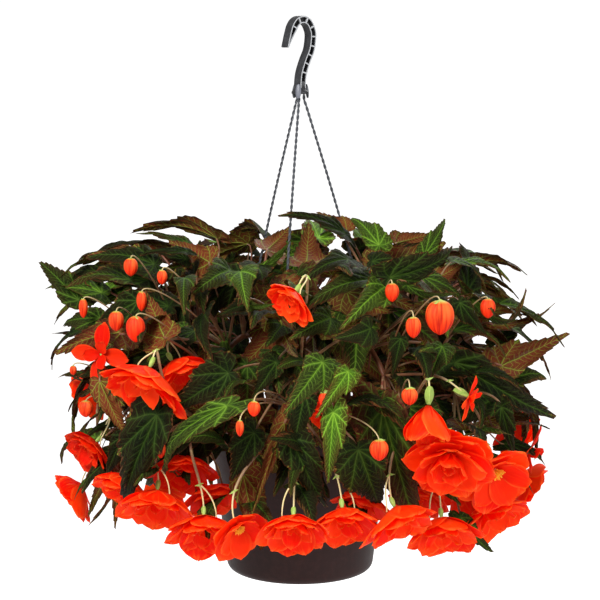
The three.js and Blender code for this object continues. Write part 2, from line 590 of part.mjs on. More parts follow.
// a point of one petal: share of its length and share of its half width
function petalPoint(bloom, ring, petal, along, across) {
  const turn = (2 * Math.PI * (petal + 0.5 * (ring.lean < 60)) / ring.count)
    + 0.1 * (draw(bloom.seed * 10 + petal, 41) - 0.5) + 2 * Math.PI * draw(bloom.seed, 42);
  const lean = rad(ring.lean + 10 * (draw(bloom.seed * 10 + petal, 43 + ring.count) - 0.5));
  const spoke = bloom.across.clone().multiplyScalar(Math.cos(turn))
    .addScaledVector(bloom.other, Math.sin(turn));
  const out = bloom.axis.clone().multiplyScalar(Math.cos(lean)).addScaledVector(spoke, Math.sin(lean));
  const inner = bloom.axis.clone().multiplyScalar(Math.sin(lean)).addScaledVector(spoke, -Math.cos(lean));
  const sideways = new THREE.Vector3().crossVectors(bloom.axis, spoke);
  const length = ring.long * bloom.radius;
  const room = Math.tan(Math.PI / ring.count) * Math.sin(lean) * along * length * 0.9;
  const half = Math.min(room, (ring.wide * bloom.radius) / 2 * (1.25 - 0.6 * along));
  const rise = ring.cup * across * across * half * 2 - ring.curl * along * along * length;
  return {
    at: bloom.centre.clone().addScaledVector(out, along * length)
      .addScaledVector(sideways, across * half).addScaledVector(inner, rise),
    inner,
  };
}

const heartDepth = (bloom) => bloom.radius * 0.12;
const PETAL_RIM = [[0.1, -1], [0.6, -1], [0.95, -0.62], [1, 0.3], [0.7, 1], [0.1, 1]];
const PETAL_HEART = [0.58, 0];

// one ring of petals as a closed body: a front and a back sheet that share the
// petals' rims, each a fan about the bloom's heart
function makeRing(bloom, ring) {
  const points = [1, -1].map((face) => bloom.centre.clone()
    .addScaledVector(bloom.axis, face * heartDepth(bloom)));
  const triangles = [];
  const corners = PETAL_RIM.length;
  const size = corners + 2;
  for (let petal = 0; petal < ring.count; petal += 1) {
    const first = points.length;
    PETAL_RIM.forEach(([along, across]) => points.push(petalPoint(bloom, ring, petal, along, across).at));
    const middle = petalPoint(bloom, ring, petal, ...PETAL_HEART);
    for (const face of [1, -1]) {
      points.push(middle.at.clone().addScaledVector(middle.inner, (face * PETAL_T) / 2));
    }
    const [front, back] = [first + corners, first + corners + 1];
    for (let i = 0; i + 1 < corners; i += 1) {
      triangles.push([front, first + i, first + i + 1], [back, first + i + 1, first + i]);
    }
    const last = first + corners - 1;
    const onward = 2 + ((petal + 1) % ring.count) * size;
    triangles.push([0, first, front], [0, front, last], [1, back, first], [1, last, back]);
    triangles.push([0, last, onward], [1, onward, last]);
  }
  const geometry = new THREE.BufferGeometry().setFromPoints(points);
  const wound = (flip) => triangles.flatMap((t) => (flip ? [t[0], t[2], t[1]] : t));
  geometry.setIndex(wound(false));
  const solid = toSolid(geometry);
  if (solid.volume() > 0) return solid;
  geometry.setIndex(wound(true));
  return toSolid(geometry);
}

function makeBloom(bloom) {
  return fuse(BLOOM_KINDS[bloom.kind].map((ring) => makeRing(bloom, ring)));
}

// a bloom hangs from a stalk that comes from its stem and ends just behind it
function pedicelLine(bloom, stem, bulge) {
  const end = bloom.centre.clone().addScaledVector(bloom.axis, -heartDepth(bloom) - CLEARANCE);
  const start = stemStep(stem, end, 110);
  const gap = start.distanceTo(end);
  const swell = outward(azimuthOf(end)).multiplyScalar(bulge);
  return new Stalk(
    start, start.clone().lerp(end, 0.3).add(V(0, 0, gap * 0.12)).add(swell),
    end.clone().addScaledVector(bloom.axis, -gap * 0.3).add(V(0, 0, gap * 0.15)), end,
  );
}

// ---- buds ---------------------------------------------------------------
// across, height, layer, length, width
const FRONT_BUDS = [
  [-211, 383, 0.85, 20, 17], [-198, 340, 0.95, 22, 12], [-271, 331, 0.75, 22, 11], [-230, 315, 0.9, 22, 18],
  [-206, 305, 1, 28, 22], [-270, 203, 0.85, 19, 18], [-285, 252, 0.7, 11, 9], [-76, 178, 1.08, 17, 9],
  [-58, 203, 1.04, 16, 14], [100, 150, 1.08, 22, 21], [115, 351, 1, 20, 16], [142, 307, 1.08, 22, 17],
  [175, 320, 1.12, 36, 32], [235, 331, 0.75, 22, 18], [138, 219, 1.12, 18, 18], [-172, 370, 0.85, 16, 12],
  [30, 214, 1.0, 16, 12], [-176, 150, 0.98, 18, 11],
];
const BUD_RINGS = [[-0.5, 0.02], [-0.28, 0.42], [0.08, 0.5], [0.36, 0.3], [0.5, 0.03]];

function makeBud(tip, length, width) {
  const profile = BUD_RINGS.map(([z, r]) => [r * width, -z * length]).reverse();
  return lathe([[0, profile[0][1]], ...profile, [0, profile[profile.length - 1][1]]], 6)
    .translate([tip.x, tip.y, tip.z]);
}

function budLine(top, stem) {
  const start = stemStep(stem, top, 60);
  const gap = start.distanceTo(top);
  return new Stalk(
    start, start.clone().lerp(top, 0.4).add(V(0, 0, gap * 0.35)), top.clone().add(V(0, 0, gap * 0.25)), top,
  );
}

// ---- growing the bush ---------------------------------------------------
const FINEST = 0.05;              // detail below this is smoothed away after fusing
const NEAR = 0.35;                // what belongs to another node stays this clear
const placed = [];
const nodes = new Map();

const boxesMeet = (a, b) => [0, 1, 2].every((k) => a.min[k] - NEAR < b.max[k] && b.min[k] - NEAR < a.max[k]);

function blockers(node, solid, own) {
  const box = solid.boundingBox();
  return placed.filter((other) => (other.node === node) === own && boxesMeet(box, other.box));
}

function isClear(node, solid) {
  return blockers(node, solid, false).every((other) => solid.minGap(other.solid, NEAR) >= NEAR);
}

function crossings(node, parts) {
  return parts.reduce((sum, solid) => sum + blockers(node, solid, true)
    .filter((other) => solid.intersect(other.solid).numTri() > 0).length, 0);
}

function keep(node, solid) {
  placed.push({ node, solid, box: solid.boundingBox() });
  if (!nodes.has(node)) nodes.set(node, []);
  nodes.get(node).push(solid);
}

// of the trials that are clear of all other nodes, the first that crosses least of its own
function bestFit(node, trials) {
  let best = null;
  let least = Infinity;
  for (const trial of trials) {
    const parts = trial();
    if (!parts.every((solid) => isClear(node, solid))) continue;
    const count = crossings(node, parts);
    if (count < least) {
      least = count;
      best = parts;
    }
    if (least <= 1) break;
  }
  return best;
}

const pairs = (first, second) => first.flatMap((a) => second.map((b) => [a, b]))
  .sort((p, q) => Math.abs(p[0]) + Math.abs(p[1]) - Math.abs(q[0]) - Math.abs(q[1]));

const two = (value) => String(value).padStart(2, '0');
const shootName = (index) => `leafy_stem_${two(index + 1)}`;

keep('pot', makePot());
keep('soil', makeSoil());
keep('hook', makeHook());
STRAND_AZIMUTHS.forEach((azimuth, i) => keep(`strand_${i + 1}`, makeStrand(azimuth)));

const stems = [];
for (let i = 0; i < STEM_COUNT; i += 1) {
  stems.push(stemLine(i));
  keep(shootName(i), stalk(stems[i], STEM_R, STEM_SIDES, STEM_STEPS));
}

const blooms = [];
for (let i = 0; i < FRONT_BLOOMS.length + BACK_BLOOMS; i += 1) {
  const name = `bloom_${two(i + 1)}`;
  const front = i < FRONT_BLOOMS.length;
  const make = (extra) => (front ? frontBloom(i, extra) : backBloom(i - FRONT_BLOOMS.length, extra));
  let chosen = null;
  for (const extra of BLOOM_STEPS) {
    const bloom = make(extra);
    const solid = makeBloom(bloom);
    if (isClear(name, solid)) {
      chosen = { name, bloom, solid };
      break;
    }
  }
  if (chosen) {
    blooms.push(chosen);
    placed.push({ node: name, solid: chosen.solid, box: chosen.solid.boundingBox() });
  }
}

// the bloom's own petals make way for its pedicel
for (const chosen of blooms) {
  const shoot = shootOf(chosen.bloom.centre);
  const others = (solid) => blockers(shootName(shoot), solid, false).filter((o) => o.node !== chosen.name)
    .every((o) => solid.minGap(o.solid, NEAR) >= NEAR);
  const line = BULGES.map((bulge) => pedicelLine(chosen.bloom, stems[shoot], bulge))
    .find((curve) => others(thinStalk(curve)));
  if (line) {
    keep(shootName(shoot), thinStalk(line));
    chosen.solid = biggest(chosen.solid.subtract(stalk(line, PEDICEL_R + 2 * NEAR, 3, 4)));
  }
}
for (const chosen of blooms) {
  const entry = placed.find((other) => other.node === chosen.name);
  entry.solid = chosen.solid;
  nodes.set(chosen.name, [chosen.solid]);
}

FRONT_BUDS.forEach(([across, height, layer, length, width], i) => {
  const shoot = shootOf(place(across, height, layer));
  const parts = bestFit(shootName(shoot), BLOOM_STEPS.map((extra) => () => {
    const centre = place(across, height, layer, extra);
    const top = centre.clone().add(V(0, 0, length * 0.4));
    return [makeBud(centre, length, width), thinStalk(budLine(top, stems[shoot]))];
  }));
  if (parts) parts.forEach((solid) => keep(shootName(shoot), solid));
});

function growLeaf(shoot, trials) {
  const parts = bestFit(shootName(shoot), trials.flatMap((make) => PETIOLE_REACHES.map((wanted) => () => {
    const leaf = make();
    return [makeLeaf(leaf, petioleLine(leaf, stems[shoot], wanted))];
  })));
  if (parts) keep(shootName(shoot), parts[0]);
}

FRONT_LEAVES.forEach((row, i) => {
  const shoot = shootOf(frontLeaf(i, row, 0, 0).base);
  growLeaf(shoot, pairs(LIE_STEPS, TIP_STEPS).map(([lie, tip]) => () => frontLeaf(i, row, lie, tip)));
});

for (let tier = 0; tier < TIERS.length; tier += 1) {
  for (let shoot = 0; shoot < STEM_COUNT; shoot += 1) {
    const azimuth = ((shoot * 360) / STEM_COUNT + 180) % 360 - 180;
    if (Math.abs(azimuth) < FRONT_HALF) continue;
    growLeaf(shoot, pairs(SWING_STEPS, LIFT_STEPS)
      .map(([swing, lift]) => () => tierLeaf(shoot, tier, swing, lift)));
  }
}

// ---- assembly -----------------------------------------------------------
const basket = new THREE.Group();
const body = new THREE.Group();
body.position.z = -(COLLAR_Z + ARCH_TOP - HOOK_T / 2);
basket.add(body);

const materialOf = (name) => {
  if (name === 'pot') return potPlastic;
  if (name === 'hook') return hookPlastic;
  if (name === 'soil') return soilMaterial;
  if (name.startsWith('strand')) return strandPlastic;
  return name.startsWith('bloom') ? petalMaterial : leafMaterial;
};

for (const [name, solids] of nodes) {
  const mesh = new THREE.Mesh(toGeometry(biggest(fuse(solids).simplify(FINEST))), materialOf(name));
  mesh.name = name;
  body.add(mesh);
}

export default basket;
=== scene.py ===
import bpy
import numpy as np
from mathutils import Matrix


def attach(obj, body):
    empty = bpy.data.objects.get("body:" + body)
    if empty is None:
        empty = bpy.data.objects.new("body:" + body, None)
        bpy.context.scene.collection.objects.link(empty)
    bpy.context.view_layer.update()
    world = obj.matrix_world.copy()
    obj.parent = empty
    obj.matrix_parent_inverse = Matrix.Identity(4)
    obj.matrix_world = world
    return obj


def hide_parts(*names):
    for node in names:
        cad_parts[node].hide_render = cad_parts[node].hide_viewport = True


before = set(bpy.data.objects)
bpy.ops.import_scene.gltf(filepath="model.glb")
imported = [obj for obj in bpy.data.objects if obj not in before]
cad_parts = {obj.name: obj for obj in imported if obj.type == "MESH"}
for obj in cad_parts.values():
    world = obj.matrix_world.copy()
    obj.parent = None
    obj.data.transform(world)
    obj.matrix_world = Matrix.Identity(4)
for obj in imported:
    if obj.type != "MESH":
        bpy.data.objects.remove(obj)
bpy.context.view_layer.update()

# ---- Pot -------------------------------------------------------------------------------------
# A nursery pot of dark brown polypropylene, injection moulded: a tapered wall, a flat base with
# five drain holes, a turned-out flange with a small lip, and three holes that the strands hang in.
SEAT = 683.0                      # height of the hook's seat above the pot's base
POT_BASE_R, POT_WALL_TOP_R, POT_LIP_R = 92.0, 114.0, 126.0
POT_HEIGHT, POT_WALL, POT_LIP_T = 186.0, 2.4, 4.0
DRAIN_R, DRAIN_RING_R, DRAIN_COUNT = 5.0, 48.0, 5
STRAND_R, STRAND_RING_R, STRAND_HOLE_GAP = 1.8, 120.0, 1.4
STRAND_AZIMUTHS = (-12.8, -132.8, 107.2)   # degrees from the front, + to the right
POT_SIDES, ARC_STEPS = 160, 5
BORE_PAST = 3.0                   # a drill runs this far past the plastic
UP = np.array([0.0, 0.0, 1.0])


def metres(points):
    """The same points in the frame: a thousandth of (x, y, z - SEAT)."""
    return (np.asarray(points, float) - (0, 0, SEAT)) * 0.001


def outward(azimuth):
    """(sin a, -cos a, 0) for an azimuth in degrees from the front."""
    turn = np.radians(azimuth)
    return np.stack([np.sin(turn), -np.cos(turn), np.zeros_like(turn)], axis=-1)


def piece(name, finishes, parts, crease=50):
    """One mesh object from parts (points, quads, tris, finish, uv, marks), joined end to end. A
    part that leaves out the uv or a mark of the others has zeros there."""
    sizes = np.cumsum([0] + [len(part["points"]) for part in parts])
    points = np.concatenate([part["points"] for part in parts])
    quads, tris = (np.concatenate([part[kind] + first for part, first in zip(parts, sizes)])
                   for kind in ("quads", "tris"))
    corners = np.concatenate([quads.ravel(), tris.ravel()]).astype(np.int32)
    starts = np.concatenate([np.arange(len(quads)) * 4, len(quads) * 4 + np.arange(len(tris)) * 3])
    slots = np.concatenate([np.broadcast_to(part["finish"][kind] if isinstance(part["finish"], dict)
                                            else part["finish"], len(part[kind]))
                            for kind in ("quads", "tris") for part in parts])
    mesh = bpy.data.meshes.new(name)
    mesh.vertices.add(len(points))
    mesh.vertices.foreach_set("co", metres(points).ravel())
    mesh.loops.add(len(corners))
    mesh.polygons.add(len(starts))
    mesh.polygons.foreach_set("loop_start", starts.astype(np.int32))
    mesh.polygons.foreach_set("vertices", corners)
    mesh.polygons.foreach_set("material_index", slots.astype(np.int32))
    mesh.update(calc_edges=True)
    mesh.shade_smooth()
    if any("uv" in part for part in parts):
        uv = np.concatenate([part.get("uv", np.zeros((len(part["points"]), 2))) for part in parts])
        mesh.uv_layers.new(name="UVMap").data.foreach_set("uv", uv[corners].ravel())
    for mark_name in sorted({key for part in parts for key in part.get("marks", {})}):
        values = [np.broadcast_to(part.get("marks", {}).get(mark_name, 0.0), len(part["points"]))
                  for part in parts]
        layer = mesh.attributes.new(mark_name, "FLOAT", "POINT")
        layer.data.foreach_set("value", np.concatenate(values))
    mesh.set_sharp_from_angle(angle=np.radians(crease))
    for material in finishes:
        mesh.materials.append(material)
    made = bpy.data.objects.new(name, mesh)
    bpy.context.scene.collection.objects.link(made)
    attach(made, "root")
    return made


def hoops(line, first, second, wide, deep, sides):
    """A grid of rings round the points of a line: line + wide cos(t) first + deep sin(t) second.
    The two radii hold one number for each ring, or one for each point."""
    turn = 2 * np.pi * np.arange(sides) / sides
    first, second = (np.broadcast_to(way, line.shape)[:, None] for way in (first, second))
    by_first, by_second = (wide * np.cos(turn))[..., None], (deep * np.sin(turn))[..., None]
    return line[:, None] + by_first * first + by_second * second


def rings(grid, finish=0):
    """A closed skin on a grid of points (ring, place on the ring): quads between rings, and a fan
    of triangles to the middle of the first and of the last ring."""
    count, around = grid.shape[:2]
    at = np.arange(count * around).reshape(count, around)
    onward = np.roll(at, -1, axis=1)
    quads = np.stack([at[:-1], onward[:-1], onward[1:], at[1:]], axis=-1).reshape(-1, 4)
    first, last = (np.full(around, count * around + end) for end in (0, 1))
    tris = np.concatenate([np.stack([onward[0], at[0], first], axis=-1),
                           np.stack([at[-1], onward[-1], last], axis=-1)])
    points = np.concatenate([grid.reshape(-1, 3), [grid[0].mean(axis=0), grid[-1].mean(axis=0)]])
    return {"points": points, "quads": quads, "tris": tris, "finish": finish}


def turned(profile, sides, centre=(0, 0, 0)):
    """A profile of (radius, height) from the bottom up round the outside, turned about an upright axis."""
    r, z = np.asarray(profile, float).T[..., None]
    return hoops(centre + UP * z, (1, 0, 0), (0, 1, 0), r, r, sides)


def rounded(corners, radius):
    """A line of corners with each inner corner replaced by a quadratic arc that starts and ends
    within the given distance of it."""
    corners = np.asarray(corners, float)
    share = np.linspace(0, 1, ARC_STEPS)[:, None]
    line = [corners[:1]]
    for before, corner, after in zip(corners[:-2], corners[1:-1], corners[2:]):
        a, b = (corner + side * min(0.45, radius / np.linalg.norm(side))
                for side in (before - corner, after - corner))
        line.append((1 - share) ** 2 * a + 2 * share * (1 - share) * corner + share ** 2 * b)
    return np.concatenate(line + [corners[-1:]])


def node(tree, kind, inputs=(), **settings):
    """A shader node with its properties set; an input takes a value or another node's output."""
    made = tree.nodes.new("ShaderNode" + kind)
    for name, value in settings.items():
        setattr(made, name, value)
    for key, value in dict(inputs).items():
        if isinstance(value, bpy.types.NodeSocket):
            tree.links.new(value, made.inputs[key])
        else:
            made.inputs[key].default_value = value
    return made


def source(beside, kind, output, **settings):
    """An output of a node without inputs, in the tree of another node."""
    return node(beside.id_data, kind, **settings).outputs[output]


def link(value, socket):
    """Wires an output to an input of the same tree."""
    socket.id_data.links.new(value, socket)


def calc(operation, *values):
    """The output of a Math node, in the tree of the first value that is a socket."""
    tree = next(value for value in values if isinstance(value, bpy.types.NodeSocket)).id_data
    return node(tree, "Math", enumerate(values), operation=operation).outputs[0]


def times(a, b):
    """The product of two values."""
    return calc("MULTIPLY", a, b)


def scaled(value, factor, offset):
    """value factor + offset."""
    return calc("MULTIPLY_ADD", value, factor, offset)


def ramp(value, low, high):
    """0 at low and 1 at high, eased between them; low may be the greater."""
    return node(value.id_data, "MapRange", {0: value, 1: low, 2: high},
                interpolation_type="SMOOTHSTEP").outputs[0]


def rgb(code):
    """A colour written as six hexadecimal digits, in the linear values that shaders use."""
    share = np.array([int(code[i:i + 2], 16) for i in (0, 2, 4)]) / 255
    return (*np.where(share <= 0.04045, share / 12.92, ((share + 0.055) / 1.055) ** 2.4), 1.0)


def layered(colour, *layers):
    """A colour with others laid over it, each as (share, colour)."""
    for share, over in layers:
        low, high = (rgb(each) if isinstance(each, str) else each for each in (colour, over))
        colour = node(share.id_data, "Mix", {0: share, 6: low, 7: high}, data_type="RGBA").outputs[2]
    return colour


def noise(at, scale, detail, roughness=0.5, shift=None):
    """The outputs of a Noise texture, which a shift moves along a fourth axis."""
    inputs = {"Vector": at, "Scale": scale, "Detail": detail, "Roughness": roughness}
    if shift is None:
        return node(at.id_data, "TexNoise", inputs).outputs
    return node(at.id_data, "TexNoise", {**inputs, "W": shift}, noise_dimensions="4D").outputs


def finish_of(name, **sockets):
    """A material with its Principled shader's own sockets set, and that shader."""
    material = bpy.data.materials.new(name)
    material.use_nodes = True
    shader = material.node_tree.nodes["Principled BSDF"]
    for socket, value in sockets.items():
        shader.inputs[socket.replace("_", " ")].default_value = value
    return material, shader


def coat(shader, colour, grain, low, high, *bump):
    """Wires a shader's colour, its roughness from a grain between two values, and a bump given by
    its strength, its depth in metres and its height."""
    link(colour, shader.inputs["Base Color"])
    link(node(shader.id_data, "MapRange", {0: grain, 3: low, 4: high}).outputs[0], shader.inputs["Roughness"])
    if bump:
        relief = node(shader.id_data, "Bump", zip(("Strength", "Distance", "Height"), bump))
        link(relief.outputs[0], shader.inputs["Normal"])


def group_of(name, inputs, outputs):
    """An empty node group with named inputs, of which the first is a vector, and named outputs."""
    group = bpy.data.node_groups.new(name, "ShaderNodeTree")
    for place, socket in enumerate(inputs):
        kind = "NodeSocketFloat" if place else "NodeSocketVector"
        group.interface.new_socket(socket, in_out="INPUT", socket_type=kind)
    for socket in outputs:
        group.interface.new_socket(socket, in_out="OUTPUT", socket_type="NodeSocketFloat")
    return group, group.nodes.new("NodeGroupInput").outputs, group.nodes.new("NodeGroupOutput").inputs


GRAIN, came, goes = group_of("moulding_grain", ["Coordinate"], ["Mottle", "Height"])
# the fine orange-peel of moulded plastic, and the mottle of handling dust
cloud = noise(came[0], 16.0, 4.0)[0]
peel = noise(came[0], 900.0, 2.0)[0]
scuff = noise(came[0], 120.0, 6.0, 0.7)[0]
link(times(cloud, ramp(scuff, 0.4, 0.75)), goes["Mottle"])
link(scaled(scuff, 0.5, peel), goes["Height"])


def moulded_plastic(name, dark, light, low, high, strength, shine=0.5):
    """Moulded plastic between two colours and two roughnesses, with the grain as a faint bump."""
    material, shader = finish_of(name, Specular_IOR_Level=shine)
    grain = node(shader.id_data, "Group", node_tree=GRAIN)
    link(source(shader, "TexCoord", "Object"), grain.inputs[0])
    mottle, height = grain.outputs
    coat(shader, layered(dark, (mottle, light)), mottle, low, high, strength, 0.0003, height)
    return material


pot_plastic = moulded_plastic("pot_plastic", "281513", "3a221f", 0.36, 0.62, 0.3, 0.15)
slope = (POT_WALL_TOP_R - POT_BASE_R) / POT_HEIGHT
lip_foot = POT_HEIGHT - POT_LIP_T
bore = POT_BASE_R - POT_WALL
pot_outline = rounded([
    (1, 0), (POT_BASE_R - 16, 0), (POT_BASE_R - 14, 1.2), (POT_BASE_R - 11, 0), (POT_BASE_R - 3, 0.5),
    (POT_BASE_R + 0.5, 5), *((POT_BASE_R + slope * height, height) for height in (12, 60, 150, lip_foot)),
    (POT_LIP_R, lip_foot), (POT_LIP_R, POT_HEIGHT), (bore + slope * POT_HEIGHT, POT_HEIGHT),
    (bore + slope * 6, 6), (bore - 5, POT_WALL), (1, POT_WALL),
], 3)
pot = piece("pot_shell", [pot_plastic], [rings(turned(pot_outline, POT_SIDES))], crease=35)
holes = [(DRAIN_R, 0, POT_WALL, 32, outward(360 * index / DRAIN_COUNT) * DRAIN_RING_R)
         for index in range(DRAIN_COUNT)]
holes += [(STRAND_R + STRAND_HOLE_GAP, lip_foot, POT_HEIGHT, 24, outward(azimuth) * STRAND_RING_R)
          for azimuth in STRAND_AZIMUTHS]
drill = piece("pot_drill", [pot_plastic], [
    rings(turned([(radius, low - BORE_PAST), (radius, high + BORE_PAST)], sides, at))
    for radius, low, high, sides, at in holes])
cut = pot.modifiers.new("holes", "BOOLEAN")
cut.object, cut.operation, cut.solver = drill, "DIFFERENCE", "EXACT"
drilled = bpy.data.meshes.new_from_object(pot.evaluated_get(bpy.context.evaluated_depsgraph_get()))
pot.modifiers.clear()
pot.data = drilled
bpy.data.objects.remove(drill)
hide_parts("pot")

# ---- Soil ------------------------------------------------------------------------------------
# Peat compost, filled to just below the flange and a little higher in the middle. Its top is
# lumpy, and each stem stands in a small dished hole.
SOIL_TOP, SOIL_CROWN, SOIL_GAP, SOIL_FOOT, SOIL_SIDES = 168.0, 6.0, 1.2, 2.8, 140
DISH_DEPTH, DISH_R, LUMP_HEIGHT, LUMP_SIZE = 4.0, 9.0, 1.3, 7.0
STEM_COUNT, STEM_R, STEM_DEPTH = 12, 4.2, 14.0
STEM_PITCH = 360 / STEM_COUNT     # degrees from one stem to the next


def draw(a, b):
    """A repeatable draw between 0 and 1 from two numbers: the fraction of a large sine."""
    value = np.sin(a * 127.1 + b * 311.7) * 43758.5453
    return value - np.floor(value)


def stem_foot(index):
    """Where a stem enters the soil: at 74 mm from the axis, or at 44 mm for every other one."""
    return outward(STEM_PITCH * index + 9) * (44 if index % 2 else 74)


def lumps(x, y, scale):
    """Sums of crossed sine waves, each turned and finer than the last, between about -1 and 1."""
    total = np.zeros_like(x)
    for octave in range(5):
        turn, fine = 1.7 * octave, 1.9 ** octave / scale
        along = (x * np.cos(turn) + y * np.sin(turn)) * fine
        beside = (y * np.cos(turn) - x * np.sin(turn)) * fine
        total += np.sin(along + 2.1 * octave) * np.sin(beside + 1.3 * octave) / 1.5 ** octave
    return total / 2


peat, shader = finish_of("peat", Specular_IOR_Level=0.2)
spot = source(shader, "TexCoord", "Object")
crumb = noise(spot, 420.0, 6.0, 0.7)[0]
fibre = node(shader.id_data, "TexVoronoi", {"Vector": spot, "Scale": 260.0}).outputs["Distance"]
coat(shader, layered("1c120d", (ramp(crumb, 0.35, 0.7), "4a3527")), crumb, 0.95, 0.7,
     0.8, 0.002, calc("ADD", crumb, fibre))

soil_edge = bore + slope * SOIL_TOP - SOIL_GAP
foot = [(60, SOIL_FOOT), (bore - 7.5, SOIL_FOOT), (bore - SOIL_GAP, 9), (soil_edge, SOIL_TOP - 1)]
side = turned(foot, SOIL_SIDES)
shares = np.linspace(1, 0.02, 46)
top = turned(np.stack([soil_edge * shares, SOIL_TOP + SOIL_CROWN * (1 - shares ** 2)], axis=1), SOIL_SIDES)
settle = np.minimum(1, (1 - shares) * 8)[:, None]
top[..., 2] += settle * (LUMP_HEIGHT * lumps(top[..., 0], top[..., 1], LUMP_SIZE) - 0.8)
for index in range(STEM_COUNT):
    off = np.linalg.norm(top[..., :2] - stem_foot(index)[:2], axis=-1)
    top[..., 2] -= DISH_DEPTH * np.exp(-(off / DISH_R) ** 2)
soil = piece("peat_fill", [peat], [rings(np.concatenate([side, top]))], crease=60)
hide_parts("soil")

# ---- Hook ------------------------------------------------------------------------------------
# One moulding of dark grey plastic: an arch of I-section with cross ribs between its two flanges,
# open to the left, running down into a collar that the three strands are moulded into.
COLLAR_Z, COLLAR_R, COLLAR_TOP_R, COLLAR_H = 597.0, 10.5, 6.0, 12.0
HOOK_T, HOOK_W, HOOK_WEB, HOOK_FLANGE, HOOK_RIB = 9.0, 13.0, 4.0, 1.9, 1.5
HOOK_POCKETS, FIRST_POCKET, LAST_POCKET = 10, 0.11, 0.93
HOOK_YAW = np.radians(40)
ARCH_WAY = np.array([np.cos(HOOK_YAW), np.sin(HOOK_YAW), 0])
WIDTH_WAY = np.array([-np.sin(HOOK_YAW), np.cos(HOOK_YAW), 0])
# the arch's middle line from its tip, above the collar's foot
HOOK_LINE = [(-23.7, 56.9), (-16.9, 73.2), (-9.4, 86.2), (0, 90.5), (9.6, 87.4), (15.2, 78.6), (16.8, 70),
             (14.3, 54.2), (7.7, 40.5), (2, 26), (0, 14), (0, 4)]


def unit(vectors):
    """The same directions with a length of one."""
    return vectors / np.linalg.norm(vectors, axis=-1, keepdims=True)


def run_of(line):
    """Length along a line at each of its points."""
    return np.concatenate([[0], np.cumsum(np.linalg.norm(np.diff(line, axis=0), axis=1))])


def heading_of(line):
    """Direction of a line at each of its points."""
    return unit(np.gradient(line, axis=0))


def stepped(line, wanted, run):
    """The points of a line where its run has the wanted values."""
    return np.stack([np.interp(wanted, run, column) for column in line.T], axis=1)


def along_corners(corners, count):
    """A smooth line through corners, and its length: each pair of corners is joined by a
    Catmull-Rom piece, and the whole is then stepped evenly by length."""
    corners = np.asarray(corners, float)
    padded = np.concatenate([[2 * corners[0] - corners[1]], corners, [2 * corners[-1] - corners[-2]]])
    t = np.linspace(0, 1, 24, endpoint=False)[:, None, None]
    p0, p1, p2, p3 = padded[:-3], padded[1:-2], padded[2:-1], padded[3:]
    line = 0.5 * (2 * p1 + (p2 - p0) * t + (2 * p0 - 5 * p1 + 4 * p2 - p3) * t ** 2
                  + (3 * p1 - p0 - 3 * p2 + p3) * t ** 3)
    line = np.concatenate([line.transpose(1, 0, 2).reshape(-1, corners.shape[1]), corners[-1:]])
    run = run_of(line)
    return stepped(line, np.linspace(0, run[-1], count), run), run[-1]


hook_line, hook_length = along_corners(HOOK_LINE, 241)
hook_square = heading_of(hook_line)[:, ::-1] * (-1, 1)


def hook_bar(start, end, low, high, half_width, shade):
    """A bar that follows the arch from one share of its length to another, between two offsets
    across the band (as -1 to 1 of its half thickness, plus mm), with its four edges rounded.
    Its two side faces carry a mark of painted light: 1 is a painted pale highlight, -1 a pocket's floor
    painted near black as shading."""
    steps = np.linspace(start, end, max(2, int(200 * (end - start)) + 1))
    shares = np.linspace(0, 1, len(hook_line))
    line, square = (stepped(table, steps, shares) for table in (hook_line, hook_square))
    half = HOOK_T * np.minimum(1, 0.24 + 4.2 * steps) / 2      # the band tapers to its tip
    bottom, top = (half * side + inset for side, inset in (low, high))
    ease = np.minimum(0.45, 0.3 * (top - bottom))
    loop = []
    for across, lift, dx, dy in ((-1, bottom, 0, 1), (-1, top, 0, -1), (-1, top, 1, 0), (1, top, -1, 0),
                                 (1, top, 0, -1), (1, bottom, 0, 1), (1, bottom, -1, 0), (-1, bottom, 1, 0)):
        flat = line + square * (lift + dy * ease)[:, None]
        wide = (across * half_width + dx * ease)[:, None]
        loop.append(flat[:, :1] * ARCH_WAY + wide * WIDTH_WAY + (flat[:, 1:] + COLLAR_Z) * UP)
    skin = rings(np.stack(loop, axis=1))
    side_faces = shade * np.array([1, 1, 0, 0, 1, 1, 0, 0])
    skin["marks"] = {"shade": np.append(np.tile(side_faces, len(line)), [0, 0])}
    return skin


rib_share = HOOK_RIB / hook_length
bars = [
    hook_bar(0, 1, (-1, 0.4), (1, -0.4), HOOK_WEB / 2, -1),
    hook_bar(0, 1, (-1, 0), (-1, HOOK_FLANGE), HOOK_W / 2, 1),
    hook_bar(0, 1, (1, -HOOK_FLANGE), (1, 0), HOOK_W / 2, 1),
    hook_bar(0, FIRST_POCKET, (-1, 0.2), (1, -0.2), HOOK_W / 2 - 0.1, 0.5),
    hook_bar(LAST_POCKET - rib_share, 1, (-1, 0.2), (1, -0.2), HOOK_W / 2 - 0.1, 0.5),
]
for end in np.linspace(FIRST_POCKET, LAST_POCKET, HOOK_POCKETS + 1)[1:-1]:
    bars.append(hook_bar(end - rib_share, end, (-1, 0.6), (1, -0.6), HOOK_W / 2 - 0.2, 1))
collar_outline = rounded([(0.5, 0), (COLLAR_R, 0), (COLLAR_R, 3), (COLLAR_TOP_R + 1.6, 6),
                          (COLLAR_TOP_R, COLLAR_H), (0.5, COLLAR_H + 0.5)], 1.2)
collar = rings(turned(collar_outline + (0, COLLAR_Z), 64))
hook_plastic = moulded_plastic("hook_plastic", "28282a", "424346", 0.4, 0.62, 0.3, 0.3)
shader = hook_plastic.node_tree.nodes["Principled BSDF"]
shade = source(shader, "Attribute", "Fac", attribute_name="shade")
grey = shader.inputs["Base Color"].links[0].from_socket
# painted light: the side faces of the flanges and ribs get a painted pale highlight, the web's pocket floors
# a painted near-black shade
link(layered(grey, (ramp(shade, -0.2, -1.0), "101011"), (ramp(shade, 0.4, 1.0), "aeb0b3")),
     shader.inputs["Base Color"])
hook = piece("hook_moulding", [hook_plastic], bars + [collar], crease=40)
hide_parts("hook")

